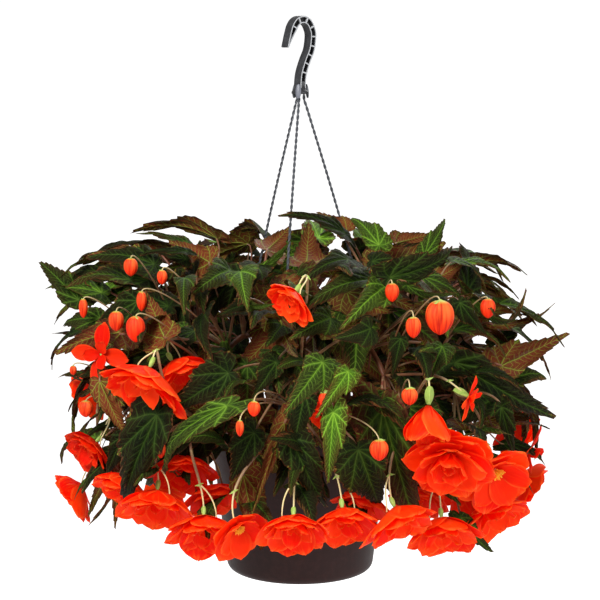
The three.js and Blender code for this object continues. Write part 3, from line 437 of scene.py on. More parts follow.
# ---- Strands ---------------------------------------------------------------------------------
# Three cords of dark grey plastic, each two plies twisted round one another. A strand leaves its
# socket in the collar, bows a little outwards, passes through the flange and ends in a button. A
# flat plug holds it at the collar's rim, and is pale on the front strand.
STRAND_BOW, STRAND_SOCKET_R, SOCKET_DEPTH = 5.0, 5.2, 8.0
PLY_R, PLY_OFFSET, LAY_LENGTH = 0.95, 0.85, 15.0
BUTTON_R, BUTTON_H, CLEARANCE = 4.6, 3.0, 0.3
FREE_TOP, FREE_FOOT = COLLAR_Z - 6, POT_HEIGHT + 4     # heights between which a strand bows
PLUG_R, PLUG_TOP, PLUG_LENGTH = 3.7, 12.0, 17.0


def tube(line, radius, sides, finish=0, marks=()):
    """A round skin along a line: rings square to it, turned from one fixed direction made square
    to each step, so that neighbouring rings lie alike."""
    along = heading_of(line)
    fixed = np.eye(3)[np.argmin(np.abs(line[-1] - line[0]))]
    first = unit(fixed - along * (along @ fixed)[:, None])
    radius = np.broadcast_to(radius, len(line))[:, None]
    skin = rings(hoops(line, first, np.cross(along, first), radius, radius, sides), finish)
    run = run_of(line)
    u = np.append(np.repeat(run / run[-1], sides), [0, 1])
    v = np.append(np.tile(np.arange(sides) / sides, len(line)), [0, 0])
    skin["uv"], skin["marks"] = np.stack([u, v], axis=1), dict(marks)
    return skin


strand_plastic = moulded_plastic("strand_plastic", "3a3d42", "5c6067", 0.4, 0.62, 0.25)
plug_plastic = moulded_plastic("plug_plastic", "5c5e66", "868894", 0.4, 0.6, 0.3)
under = POT_HEIGHT - POT_LIP_T - CLEARANCE
button = rounded([(0.4, under - BUTTON_H), (BUTTON_R - 1, under - BUTTON_H), (BUTTON_R, under - 1),
                  (BUTTON_R, under), (0.4, under)], 0.8)
share = np.linspace(0, 1, 60)
out = STRAND_SOCKET_R + (STRAND_RING_R - STRAND_SOCKET_R) * share + STRAND_BOW * np.sin(np.pi * share)
down = FREE_TOP + (FREE_FOOT - FREE_TOP) * share
out = np.concatenate([[STRAND_SOCKET_R], out, [STRAND_RING_R]])
down = np.concatenate([[COLLAR_Z + SOCKET_DEPTH - CLEARANCE], down, [under - BUTTON_H / 2]])
middle, length = along_corners(np.stack([out, down], axis=1), 340)
twist = 2 * np.pi * np.linspace(0, length, len(middle))[:, None] / LAY_LENGTH
for index, azimuth in enumerate(STRAND_AZIMUTHS):
    away, beside = outward(azimuth), outward(azimuth + 90)
    centre = away * middle[:, :1] + UP * middle[:, 1:]
    square = np.cross(heading_of(centre), beside)
    parts = []
    for ply in (0, np.pi):
        spoke = np.cos(twist + ply) * beside + np.sin(twist + ply) * square
        parts.append(tube(centre + PLY_OFFSET * spoke, PLY_R, 8))
    parts.append(rings(turned(button, 24, away * STRAND_RING_R)))
    drop = np.linspace(0, 1, 11)[:, None]
    wide = PLUG_R * np.sin(np.pi * (0.06 + 0.86 * drop)) ** 0.55
    spine = away * (COLLAR_R - 0.6 - 1.6 * drop[::-1]) + UP * (COLLAR_Z + PLUG_TOP - PLUG_LENGTH * drop)
    parts.append(rings(hoops(spine, beside, away, wide, 0.5 * wide, 20), int(index == 0)))
    strand = piece(f"strand_{index + 1}_plies", [strand_plastic, plug_plastic], parts, crease=40)
    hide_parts(f"strand_{index + 1}")

# ---- Leafy stems -----------------------------------------------------------------------------
# Twelve fleshy stems rise from the soil, lean out over the flange and droop. Each carries lop-sided,
# pointed, finely toothed leaves on thin petioles, and the stalks of its buds and blooms.
EYE = np.array([0.0, -2228.0, 654.0])      # where the camera stands
MOUND_R, MOUND_Z, MOUND_UP, MOUND_DOWN, MOUND_POWER, SKIRT_R = 325.0, 250.0, 215.0, 260.0, 2.6, 268.0
STEM_STEPS, STEM_TIP_R, JOINT_PITCH, PETIOLE_STEPS = 8, 2.7, 48.0, 13
MATCH = 0.12                      # a CAD corner this near a trial's corner belongs to it

# outline of a blade about its petiole's end: degrees from the midrib and share of the length
OUTLINE = [(0, 1), (10, 0.72), (22, 0.54), (36, 0.52), (62, 0.38), (88, 0.38), (128, 0.31), (163, 0.18),
           (180, 0.06), (210, 0.13), (268, 0.25), (312, 0.37), (330, 0.40), (348, 0.64), (360, 1)]
VEIN_ANGLES = (0, 36, 84, 128, 228, 272, 316)

# across and height of the tip, its layer, the same of the petiole's end, width, roll, arch
FRONT_LEAVES = [
    (-327, 394, 0.1, -277, 341, 0.3, 0.95, 10, 0.06), (-305, 381, 0.3, -190, 366, 0.35, 0.65, 40, 0.04),
    (-282, 389, -0.3, -235, 394, -0.3, 0.5, 120, 0.15), (-204, 428, 0.2, -140, 412, 0.1, 0.7, 60, 0.03),
    (-200, 404, 0.6, -140, 402, 0.4, 0.6, 50, 0.03), (-302, 312, 0.6, -250, 318, 0.5, 1.0, 25, 0.08),
    (-307, 277, 0.5, -225, 300, 0.5, 0.9, 155, 0.08), (-222, 168, 1, -252, 238, 0.8, 0.8, 165, 0.06),
    (-310, 139, 0.4, -258, 165, 0.4, 0.6, 60, 0.12), (-270, 70, 0.7, -238, 120, 0.3, 0.6, 150, 0.06),
    (-235, 49, 0.8, -228, 122, 0.7, 0.5, 165, 0.05), (-226, 76, 1, -180, 195, 0.85, 0.75, 10, 0.1),
    (-202, 94, 0.85, -130, 186, 0.85, 0.9, 0, 0.08), (-177, 123, 1.05, -92, 206, 1, 0.5, 35, 0.2),
    (-165, 198, 1, -90, 248, 0.95, 1.25, 0, 0.06), (-17, 198, 1.05, 28, 262, 1, 1.2, 0, 0.1),
    (45, 292, 1, 88, 305, 0.95, 1.5, -10, 0.08), (58, 312, 1.05, 106, 358, 0.9, 0.95, 10, 0.12),
    (2, 335, 1, 90, 366, 0.75, 0.65, 35, 0.08), (-25, 451, 0.5, 56, 424, 0.2, 0.75, 50, 0.1),
    (25, 450, -0.2, 58, 428, 0, 1.2, 175, 0.1), (62, 448, 0.5, 98, 410, 0.5, 1.1, 20, 0.1),
    (160, 424, -0.2, 118, 412, 0, 1.4, 180, 0.1), (182, 445, 0.3, 155, 398, 0.2, 0.8, 15, 0.08),
    (197, 405, 0.8, 112, 370, 0.75, 0.8, 30, 0.1), (206, 389, 0.3, 164, 366, 0.35, 1.1, 165, 0.1),
    (205, 419, -0.1, 209, 352, 0.2, 0.9, 30, 0.05), (285, 344, 0.4, 215, 342, 0.5, 0.5, 75, 0.3),
    (319, 326, 0.1, 240, 309, 0.2, 0.5, 115, 0.06), (332, 296, 0.6, 252, 257, 0.4, 0.8, 170, 0.05),
    (325, 187, 0.8, 194, 262, 0.45, 0.58, 10, 0.06), (271, 143, 0.9, 254, 205, 0.8, 0.7, 10, 0.06),
    (246, 11, 1, 205, 62, 0.7, 0.8, 20, 0.06), (152, 39, 1.1, 105, 202, 1, 0.75, 10, 0.08),
    (104, 69, 0.95, 74, 150, 0.95, 1.2, 0, 0.08), (35, 70, 1, -12, 164, 1, 0.9, 5, 0.08),
    (34, 104, 1.15, 42, 198, 1.05, 0.75, 0, 0.1), (22, 195, 1.15, 60, 250, 1.02, 0.85, 0, 0.12),
    (-50, 18, 0.95, -72, 118, 0.75, 0.95, 170, 0.05), (-59, 75, 1.1, -19, 186, 1, 0.4, 175, 0.06),
    (-90, 108, 0.85, -58, 172, 0.85, 1.2, 0, 0.08), (-15, 432, 0.1, -42, 404, 0.3, 1.4, 175, 0.1),
    (-160, 414, 0.2, -112, 388, 0.4, 1.3, 175, 0.1), (-132, 352, 0.9, -88, 378, 0.7, 1.4, 15, 0.1),
    (-66, 336, 0.95, -74, 376, 0.8, 1.1, 0, 0.08), (-146, 331, 0.95, -144, 368, 0.8, 0.9, 0, 0.1),
    (-191, 346, 0.7, -170, 292, 0.9, 1.1, 180, 0.05), (-262, 300, 0.75, -202, 340, 0.7, 1.2, 15, 0.1),
    (-246, 117, 0.95, -222, 168, 0.8, 1.1, 10, 0.06), (175, 177, 0.7, 248, 216, 0.6, 1.1, 15, 0.08),
    (233, 296, 0.8, 200, 338, 0.75, 1.0, 10, 0.1), (116, 246, 1, 126, 292, 0.85, 1.1, 0, 0.08),
    (160, 238, 0.95, 178, 282, 0.85, 1.1, 0, 0.08), (196, 345, 0.9, 134, 360, 0.8, 0.6, 55, 0.1),
    (12, 430, -0.1, 8, 386, 0.2, 1.3, 180, 0.08), (6, 370, 0.8, 60, 392, 0.7, 1.1, 35, 0.1),
    (-10, 416, 0.6, -58, 374, 0.6, 0.55, 30, 0.1), (-102, 324, 0.9, -60, 336, 0.8, 1.1, 20, 0.1),
    (-34, 334, 1, -68, 338, 0.9, 0.8, 40, 0.1), (-12, 292, 0.95, 38, 318, 0.8, 1.1, 10, 0.1),
    (-188, 405, 0.6, -142, 392, 0.5, 0.9, 35, 0.1), (-10, 150, 0.85, 6, 222, 0.85, 1.1, 0, 0.08),
    (-60, 215, 0.9, -30, 262, 0.85, 1.2, 0, 0.08),
]
LEAF_SLIMNESS = 0.72
# one letter for each of those leaves: d dark, m middle green, g bright green, y young with red
# edges, k dark with red edges, r flushed red; and each letter's tone, flush and redness beneath
FRONT_LOOKS = "mdrrdmrrrm" "rddgdgdgmd" "rgrgdrdrry" "ddmkddyyrr" "drrmgmrddd" "ddmmrdgdgm" "ddd"
BACK_LOOKS = "dmdgdrmkdyd"
LOOKS = {"d": (0.1, 0.15, 0.6), "m": (0.34, 0.25, 0.55), "g": (0.6, 0.2, 0.5),
         "y": (0.9, 0.75, 0.85), "k": (0.3, 0.9, 0.7), "r": (0.35, 0.55, 1.0)}
# height of the petiole's end and of the tip, their reach as a share of the mound's, roll
TIERS = [(402, 408, 0.55, 1.0, 0), (388, 372, 0.72, 1.02, 12), (345, 300, 0.8, 1.03, -10),
         (300, 238, 0.84, 1.0, 8), (235, 145, 0.84, 0.97, -14), (150, 66, 0.72, 0.98, 170)]
FRONT_HALF, SLUMPED_TIERS, SLUMP = 72, 2, 46
# shifts that a CAD node's solver may have given a leaf, the smallest first
LIE_STEPS = (0, 9, -9, 18, -18, 27, -27, 38, -38, 50, -50, 65)
TIP_STEPS = (0, 14, -14, 28, -28)
SWING_STEPS = (0, 7, -7, 14, -14, 21, -21)
LIFT_STEPS = (0, 12, -12, 24, -24)
PETIOLE_REACHES = (45, 90)
PETIOLE_R, PEDICEL_R = 1.5, 1.3
TOOTH_DEPTH, BLADE_HALF = 0.05, 0.45
LEAF_TEETH, LEAF_RINGS, BRACT_TEETH, BRACT_RINGS = 27, 6, 9, 3


def reach(height):
    """How far the foliage reaches at a height: a superellipse, flatter above than below."""
    rise = height - MOUND_Z
    share = min(1, abs(rise) / (MOUND_UP if rise > 0 else MOUND_DOWN))
    return MOUND_R * (1 - share ** MOUND_POWER) ** (1 / MOUND_POWER)


def place(across, height, layer, extra=0):
    """A point named by where it shows on the upright plane through the pot's axis, and by its
    layer: 1 on the mound's front, 0 on that plane, -1 on its back."""
    r = max(reach(height), SKIRT_R) if height < MOUND_Z else reach(height)
    depth = -layer * np.sqrt(max(0, r * r - across * across)) - extra
    on_plane = np.array([across, 0.0, height])
    return EYE + (on_plane - EYE) * (depth - EYE[1]) / -EYE[1]


def bezier(corners, count):
    """Points of a cubic Bezier curve, stepped evenly in its own parameter."""
    t = np.linspace(0, 1, count)[:, None]
    a, b, c, d = corners
    return (1 - t) ** 3 * a + 3 * t * (1 - t) ** 2 * b + 3 * t * t * (1 - t) * c + t ** 3 * d


def azimuth_of(point):
    """Degrees from the front, + to the right."""
    return np.degrees(np.arctan2(point[0], -point[1]))


def shoot_of(point):
    """The stem whose azimuth is nearest."""
    return int(np.floor(azimuth_of(point) / STEM_PITCH + 0.5)) % STEM_COUNT


def stem_curve(index):
    """Foot in the soil, straight up, then out over the flange and down."""
    foot, away = stem_foot(index), outward(STEM_PITCH * index)
    lift, far = 22 * (draw(index, 3) - 0.5), 210 + 30 * draw(index, 4)
    return (foot + UP * (SOIL_TOP - STEM_DEPTH), foot + UP * (330 + lift),
            away * 150 + UP * (375 + lift), away * far + UP * (236 + lift))


STEMS = [stem_curve(index) for index in range(STEM_COUNT)]


def stem_step(shoot, point, wanted):
    """The step of a stem whose distance from a point is nearest to the wanted length."""
    steps = bezier(STEMS[shoot], STEM_STEPS + 1)[2:]
    return steps[np.argmin(np.abs(np.linalg.norm(steps - point, axis=1) - wanted))]


def leaf_frame(base, tip, faces, width, roll, arch, fold, hand):
    """A blade from its petiole's end to its tip, its upper face turned to a direction and then
    rolled about the midrib."""
    axis, length = unit(tip - base), np.linalg.norm(tip - base)
    level = unit(faces - axis * (faces @ axis))
    roll = np.radians(roll)
    up = level * np.cos(roll) + np.cross(axis, level) * np.sin(roll)
    return {"base": base, "axis": axis, "up": up, "side": np.cross(up, axis), "length": length,
            "width": width, "arch": arch, "fold": fold, "hand": hand}


def front_leaf(index, lie=0, shift=0):
    """A leaf of the front's list, shifted along the line of sight, and its tip further."""
    tip_x, tip_z, tip_layer, base_x, base_z, base_layer, width, roll, arch = FRONT_LEAVES[index]
    return leaf_frame(place(base_x, base_z, base_layer, lie), place(tip_x, tip_z, tip_layer, lie + shift),
                      np.array([0, -1, 0.15]), width * LEAF_SLIMNESS, roll, arch,
                      0.1 + 0.12 * draw(index, 11), -1 if draw(index, 12) < 0.5 else 1)


def tier_leaf(shoot, tier, swing=0, lift=0):
    """A leaf of one of the tiers that go round the sides and the back. The top ones hang lower at
    the right."""
    base_z, tip_z, inside, out, roll = TIERS[tier]
    seed = shoot * 40 + tier * 4
    azimuth = shoot * STEM_PITCH + (3 if tier % 2 else -11) + 8 * (draw(seed, 21) - 0.5) + swing
    slump = SLUMP * max(0, outward(azimuth)[0]) ** 2 if tier < SLUMPED_TIERS else 0
    turn, drop = 24 * (draw(seed, 22) - 0.5), 24 * (draw(seed, 23) - 0.5) + lift - slump
    base = outward(azimuth) * reach(base_z) * inside + UP * (base_z + drop / 2)
    tip = outward(azimuth + turn) * reach(tip_z) * out + UP * (tip_z + drop)
    return leaf_frame(base, tip, outward(azimuth) + UP * 0.5, 0.6 + 0.3 * draw(seed, 24),
                      roll + 24 * (draw(seed, 25) - 0.5), 0.04 + 0.06 * draw(seed, 26),
                      0.1 + 0.12 * draw(seed, 27), -1 if draw(seed, 28) < 0.5 else 1)


def on_blade(leaf, x, y):
    """A point of the blade from shares of its length along and across, arched along the midrib
    and folded up from it."""
    y = y * leaf["width"]
    rise = leaf["arch"] * 4 * x * (1 - np.maximum(x, 0)) + leaf["fold"] * np.abs(y)
    along, across, up = (value[..., None] for value in (x, y * leaf["hand"], rise))
    return leaf["base"] + leaf["length"] * (along * leaf["axis"] + across * leaf["side"] + up * leaf["up"])


def corners_of(name):
    """The corners of a CAD node, in millimetres above the pot's base."""
    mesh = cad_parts[name].data
    flat = np.empty(len(mesh.vertices) * 3)
    mesh.vertices.foreach_get("co", flat)
    return np.unique(np.round(flat.reshape(-1, 3) * 1000 + (0, 0, SEAT), 4), axis=0)


CORNERS = {name: corners_of(name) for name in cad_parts}


def nearest(points, name):
    """Distance from each point to the nearest corner of a CAD node."""
    corners = CORNERS[name]
    square = (points ** 2).sum(axis=-1)[..., None] - 2 * points @ corners.T + (corners ** 2).sum(axis=1)
    return np.sqrt(np.maximum(square.min(axis=-1), 0))


def packed_one(trials, points_of, name):
    """The trial whose points have most of the CAD node's corners on them."""
    found = nearest(np.stack([points_of(trial) for trial in trials]), name) < MATCH
    return trials[int(np.argmax(found.sum(axis=-1)))]


def packed_curve(curves, quarters, radius, name, count):
    """The curve whose points at some quarters of its way lie nearest to a round stalk's radius
    from the CAD node's corners, stepped into a line."""
    misses = [np.abs(nearest(bezier(curve, 5)[quarters], name) - radius).sum() for curve in curves]
    return bezier(curves[int(np.argmin(misses))], count)


edge_angle, edge_r = np.radians([a for a, r in OUTLINE]), np.array([r for a, r in OUTLINE])
EDGE = (edge_r * np.cos(edge_angle))[:-1], (edge_r * np.sin(edge_angle))[:-1]


def packed_leaf(leaf_of, firsts, seconds, name):
    """The leaf, of all pairs of shifts with the smallest first, that the CAD node has."""
    shifts = sorted(((a, b) for a in firsts for b in seconds), key=lambda pair: abs(pair[0]) + abs(pair[1]))
    return packed_one([leaf_of(*shift) for shift in shifts], lambda trial: on_blade(trial, *EDGE), name)


def outline_of(teeth, seed):
    """The toothed edge of a blade: the outline stepped evenly along its length, three steps to a
    tooth, each tooth leaning to the tip."""
    dense = np.radians(np.linspace(0, 360, 1441))
    r = np.interp(dense, edge_angle, edge_r)
    line = np.stack([r * np.cos(dense), r * np.sin(dense)], axis=1)
    run, order = run_of(line), np.arange(3 * teeth)
    x, y = stepped(line, np.linspace(0, run[-1], 3 * teeth + 1)[:-1], run).T
    rising = TOOTH_DEPTH * np.array([-0.4, 0.3, 1.0])[order % 3]
    bite = 1 + rising * (0.7 + 0.6 * draw(order // 3, seed))
    bite[0] = 1.0
    lean = 0.1 * np.where(order < 1.5 * teeth, 1, -1) * rising
    return x * bite + lean * np.sign(x), y * bite


def fine_leaf(leaf, seed, look, teeth, ring_count):
    """A closed blade of two sheets that share their toothed rim. Rings of points run out from the
    petiole's end; the blade is lifted between its main veins and waved along its edge."""
    x, y = outline_of(teeth, seed)
    share = np.linspace(0, 1, ring_count + 1)[1:] ** 0.85
    gx, gy = np.outer(share, x), np.outer(share, y)
    angle = np.degrees(np.arctan2(gy, gx)) % 360
    off = np.min([np.abs((angle - vein + 180) % 360 - 180) for vein in VEIN_ANGLES], axis=0)
    away = np.hypot(gx, gy) * np.radians(np.minimum(off, 60))
    rim = share[:, None] * np.ones_like(x)
    quilt = 0.022 * (1 - np.exp(-(away / 0.045) ** 2)) * (1 - rim ** 5)
    q = np.arange(len(x)) / len(x)
    wave = 0.016 * np.sin(2 * np.pi * (5 * q + draw(seed, 51)))
    wave = (wave + 0.011 * np.sin(2 * np.pi * (9 * q + draw(seed, 52)))) * rim ** 2.5
    ahead = np.maximum(gx, 0) ** 2
    lift = quilt + wave - (0.05 + 0.1 * draw(seed, 53)) * rim ** 3 * ahead
    surface = on_blade(leaf, gx, gy + 0.05 * (draw(seed, 54) - 0.5) * ahead)
    surface = surface + (lift * leaf["length"])[..., None] * leaf["up"]
    thick = BLADE_HALF * (1 - rim ** 2)[..., None] * leaf["up"]
    pole = on_blade(leaf, np.zeros(1), np.zeros(1))
    count, around = gx.shape
    points = np.concatenate([(surface + thick).reshape(-1, 3), (surface - thick)[:-1].reshape(-1, 3),
                             pole + BLADE_HALF * leaf["up"], pole - BLADE_HALF * leaf["up"]])
    upper = np.arange(count * around).reshape(count, around)
    lower = np.concatenate([count * around + upper[:-1], upper[-1:]])
    quads, tris = [], []
    for at, pole_at, turned_over in ((upper, len(points) - 2, False), (lower, len(points) - 1, True)):
        onward = np.roll(at, -1, axis=1)
        way = -1 if turned_over != (leaf["hand"] < 0) else 1
        quads.append(np.stack([at[:-1], at[1:], onward[1:], onward[:-1]], axis=-1).reshape(-1, 4)[:, ::way])
        tris.append(np.stack([np.full(around, pole_at), at[0], onward[0]], axis=-1)[:, ::way])
    uv = np.stack([gx.ravel(), gy.ravel()], axis=1)
    tone, blush, ruddy = look
    marks = {"rim": np.concatenate([rim.ravel(), rim[:-1].ravel(), [0, 0]]), "blush": blush, "ruddy": ruddy,
             "tone": tone + 0.12 * (draw(seed, 55) - 0.5), "shift": draw(seed, 56) * 10}
    finish = {"quads": np.repeat([UPPER, UNDER], len(quads[0])), "tris": np.repeat([UPPER, UNDER], around)}
    return {"points": points, "quads": np.concatenate(quads), "tris": np.concatenate(tris), "finish": finish,
            "uv": np.concatenate([uv, uv[:(count - 1) * around], np.zeros((2, 2))]), "marks": marks}


def petiole_of(leaf, shoot, wanted):
    """Leaves the stem upwards and meets the blade from below and behind."""
    start = stem_step(shoot, leaf["base"], wanted)
    gap = np.linalg.norm(leaf["base"] - start)
    return (start, start + (leaf["base"] - start) * 0.3 + UP * gap * 0.15,
            leaf["base"] - leaf["axis"] * gap * 0.2 - leaf["up"] * gap * 0.2, leaf["base"] + leaf["axis"] * 3)


def shoot_name(shoot):
    """The CAD node of a stem."""
    return f"leafy_stem_{shoot + 1:02d}"


def mark(beside, name):
    """A value that the mesh carries at each point."""
    return source(beside, "Attribute", "Fac", attribute_name=name)


def vector_calc(operation, a, b):
    """The output of a Vector Math node, in the tree of its first value."""
    return node(a.id_data, "VectorMath", {0: a, 1: b}, operation=operation).outputs[0]


# The veins of a blade from its UV, which is (along, across) as shares of its length: main veins
# run out from the petiole's end and bend to the tip, side veins slant off them, and a fine mesh
# fills in. It gives two vein masks, a glow beside the main veins, the swelling between all of
# them, and a blotch. r is the distance from the petiole's end, and apart that from a main vein.
VEIN_SPACING, SIDE_VEINS = float(np.radians(40)), 13.0
VEINS, came, goes = group_of("vein_net", ["Blade", "Shift"], ["Main", "Side", "Halo", "Swell", "Blotch"])
wander = noise(came["Blade"], 7.0, 2.0, shift=came["Shift"])["Color"]
bent = vector_calc("MULTIPLY", vector_calc("SUBTRACT", wander, (0.5, 0.5, 0.5)), (0.035, 0.035, 0.0))
spot = vector_calc("ADD", came["Blade"], bent)
x, y = node(VEINS, "SeparateXYZ", {0: spot}).outputs[:2]
r = calc("SQRT", scaled(x, x, times(y, y)))
angle = times(calc("ARCTAN2", y, x), scaled(r, 0.45, 1.0))
# PINGPONG climbs from 0 to half the spacing and back, so it is 0 on every main vein
apart = times(calc("PINGPONG", angle, VEIN_SPACING / 2), r)
forward = ramp(calc("ABSOLUTE", angle), 2.7, 0.2)
width = calc("MAXIMUM", times(scaled(r, -0.007, 0.0085), calc("ADD", forward, 0.5)), 0.001)
widths_off, fade = calc("DIVIDE", apart, width), scaled(forward, 0.6, 0.4)
link(times(ramp(widths_off, 1.2, 0.3), fade), goes["Main"])
link(times(ramp(widths_off, 5.0, 0.8), fade), goes["Halo"])
wave = calc("PINGPONG", times(scaled(apart, -0.9, r), SIDE_VEINS), 0.5)
side = times(times(ramp(wave, 0.12, 0.02), ramp(r, 0.05, 0.2)), ramp(apart, 0.22, 0.03))
cells = node(VEINS, "TexVoronoi", {"Vector": spot, "Scale": 34.0}, feature="DISTANCE_TO_EDGE")
mesh = cells.outputs["Distance"]
link(calc("MAXIMUM", side, times(ramp(mesh, 0.12, 0.02), 0.22)), goes["Side"])
swell = calc("MINIMUM", times(apart, 14.0), times(wave, 2.2))
link(calc("MINIMUM", swell, times(mesh, 3.0)), goes["Swell"])
link(noise(spot, 5.0, 4.0, shift=came["Shift"])[0], goes["Blotch"])
UPPER, UNDER, STEM_SKIN, BUD_SKIN, BRACT_SKIN = range(5)


def veined(name, **sockets):
    """A blade material with its vein group wired to the UV and to the leaf's own shift."""
    material, shader = finish_of(name, **sockets)
    veins = node(shader.id_data, "Group", node_tree=VEINS)
    link(source(shader, "UVMap", 0), veins.inputs["Blade"])
    link(mark(shader, "shift"), veins.inputs["Shift"])
    return material, shader, veins.outputs


leaf_upper, shader, veins = veined("leaf_upper", Specular_IOR_Level=0.05)
tone, blush, rim = (mark(shader, name) for name in ("tone", "blush", "rim"))
lit = calc("ADD", tone, scaled(veins["Blotch"], 0.5, -0.25))
vein_green = layered("3a5221", (tone, "8fb93a"))
green = layered(
    "0e1307", (ramp(lit, 0.0, 0.6), "222f10"), (ramp(lit, 0.5, 1.1), "446a18"),
    (times(blush, ramp(scaled(veins["Blotch"], 0.6, rim), 0.6, 1.2)), "3f1a10"),
    (times(veins["Halo"], scaled(tone, 0.6, 0.35)), layered("22350f", (tone, "5f8c22"))),
    (times(veins["Side"], scaled(tone, 0.3, 0.32)), vein_green),
    (times(veins["Main"], scaled(tone, 0.45, 0.36)), vein_green),
    (times(ramp(rim, 0.93, 1.0), 0.6), "4a2216"))
coat(shader, green, veins["Blotch"], 0.52, 0.72, 0.7, 0.0016, veins["Swell"])

leaf_under, shader, veins = veined("leaf_under", Specular_IOR_Level=0.1)
red = calc("ADD", mark(shader, "ruddy"), scaled(veins["Blotch"], 0.8, -0.4))
skin = layered(
    "2f3312", (ramp(red, 0.25, 0.8), "652214"), (times(ramp(mark(shader, "rim"), 0.6, 1.0), 0.5), "40140a"),
    (times(veins["Halo"], 0.35), "5a5120"), (times(veins["Side"], 0.55), "8a9634"),
    (times(veins["Main"], 0.85), "8a9634"))
raised = scaled(veins["Swell"], -0.7, times(veins["Main"], 1.5))
coat(shader, skin, veins["Blotch"], 0.48, 0.7, 0.6, 0.001, raised)

stem_skin, shader = finish_of("stem_skin", Specular_IOR_Level=0.4, Subsurface_Weight=0.1,
                              Subsurface_Radius=(0.6, 0.4, 0.1), Subsurface_Scale=0.004)
streak = noise(source(shader, "TexCoord", "Object"), 130.0, 5.0)[0]
skin = layered("40381a", (mark(shader, "tone"), "dccb92"),
               (times(mark(shader, "ruddy"), ramp(streak, 0.15, 0.5)), "702a17"))
coat(shader, skin, streak, 0.35, 0.6, 0.3, 0.0005, streak)


def fanned(shader, lengthways, crossways, shift):
    """Shares along and across from the UV, and a place whose noise runs in stripes along it."""
    along, across = node(shader.id_data, "SeparateXYZ", {0: source(shader, "UVMap", 0)}).outputs[:2]
    inputs = {0: times(along, lengthways), 1: times(across, crossways), 2: mark(shader, shift)}
    return along, across, node(shader.id_data, "CombineXYZ", inputs).outputs[0]


bud_skin, shader = finish_of("bud_skin", Specular_IOR_Level=0.1, Subsurface_Weight=0.2,
                             Subsurface_Radius=(1.0, 0.3, 0.08), Subsurface_Scale=0.004)
along, around, spot = fanned(shader, 0.8, 16.0, "blush")
ribs = noise(spot, 1.0, 3.0)[0]
stripe = ramp(ribs, 0.38, 0.64)
pale = times(ramp(along, 0.2, 0.9), scaled(stripe, 0.5, 0.15))
skin = layered("a00c02", (stripe, "e8380e"), (pale, "fa7c3a"), (ramp(along, 0.9, 1.0), "a8ac4a"),
               (mark(shader, "blush"), "e01c08"))
coat(shader, skin, ribs, 0.48, 0.62, 0.35, 0.0004, ribs)

bract_skin, shader = finish_of("bract_skin", Specular_IOR_Level=0.35, Subsurface_Weight=0.1,
                               Subsurface_Radius=(0.5, 0.6, 0.1), Subsurface_Scale=0.003)
fleck = noise(source(shader, "TexCoord", "Object"), 300.0, 3.0)[0]
coat(shader, layered("6f9a3a", (fleck, "b6c766")), fleck, 0.4, 0.6)
FOLIAGE = [leaf_upper, leaf_under, stem_skin, bud_skin, bract_skin]

grown = [[] for stem in STEMS]
for shoot, stem in enumerate(STEMS):
    line = bezier(stem, 70)
    joints = 1 + 0.16 * np.exp(-((run_of(line) % JOINT_PITCH - JOINT_PITCH / 2) / 5.0) ** 2)
    girths = np.linspace(STEM_R, STEM_TIP_R, len(line)) * joints
    grown[shoot].append(tube(line, girths, 12, STEM_SKIN, {"ruddy": 0.75, "tone": 0.2}))


def grow_leaf(leaf, shoot, seed, look):
    """A fine blade and its petiole, from whichever reach of the stem the CAD node has."""
    curves = [petiole_of(leaf, shoot, wanted) for wanted in PETIOLE_REACHES]
    line = packed_curve(curves, [2], PETIOLE_R, shoot_name(shoot), PETIOLE_STEPS)
    line[-1] = leaf["base"] + leaf["axis"] * 1.5
    grown[shoot].append(fine_leaf(leaf, seed, look, LEAF_TEETH, LEAF_RINGS))
    grown[shoot].append(tube(line, np.linspace(1.9, 1.25, PETIOLE_STEPS), 7, STEM_SKIN,
                             {"ruddy": 0.6 + 0.4 * look[1], "tone": 0.25 + 0.3 * draw(seed, 61)}))


for index, letter in enumerate(FRONT_LOOKS):
    shoot = shoot_of(front_leaf(index)["base"])
    leaf = packed_leaf(lambda *shift: front_leaf(index, *shift), LIE_STEPS, TIP_STEPS, shoot_name(shoot))
    grow_leaf(leaf, shoot, index + 1, LOOKS[letter])

for tier in range(len(TIERS)):
    for shoot in range(STEM_COUNT):
        if abs((shoot * STEM_PITCH + 180) % 360 - 180) < FRONT_HALF:
            continue
        leaf = packed_leaf(lambda *shift: tier_leaf(shoot, tier, *shift), SWING_STEPS, LIFT_STEPS,
                           shoot_name(shoot))
        seed = 100 + shoot * 8 + tier
        grow_leaf(leaf, shoot, seed, LOOKS[BACK_LOOKS[int(draw(seed, 62) * len(BACK_LOOKS))]])

# ---- Blooms ----------------------------------------------------------------------------------
# Thirty-four blooms hang from pale stalks that fork near their ends: some double, with petals in
# layers, some single with yellow stamens, and some bell-shaped over a green winged ovary.
HEART = 0.12                      # depth of a bloom's heart as a share of its radius
# swings of a stalk, and shifts of a bloom or bud, that a CAD node's solver may have chosen
BULGES = (30, 10, 50, 70, -10, 90, 110, -25)
BLOOM_STEPS = (0, 14, -14, 28, -28, 42, -42, 56, 70, 84)
BACK_BLOOMS, SHADED_LAYER = 9, 0.78
STALK_STEPS, FORK, TWIN_STEPS, BRACT_LENGTH, OVARY_SIDES = 26, 19, 12, 6.5, 24
# outer ring as the CAD has it: petals, lean from the axis, length, width, bend back, cup
CAD_RINGS = {"double": (5, 84, 1, 0.92, 0.12, 0.1), "single": (5, 78, 1, 0.92, 0.1, 0.1),
             "skirt": (6, 66, 1.12, 0.84, 0.06, 0.1), "star": (4, 80, 1.15, 0.56, 0.08, 0.1),
             "bell": (4, 40, 1.15, 0.86, -0.05, 0.12)}
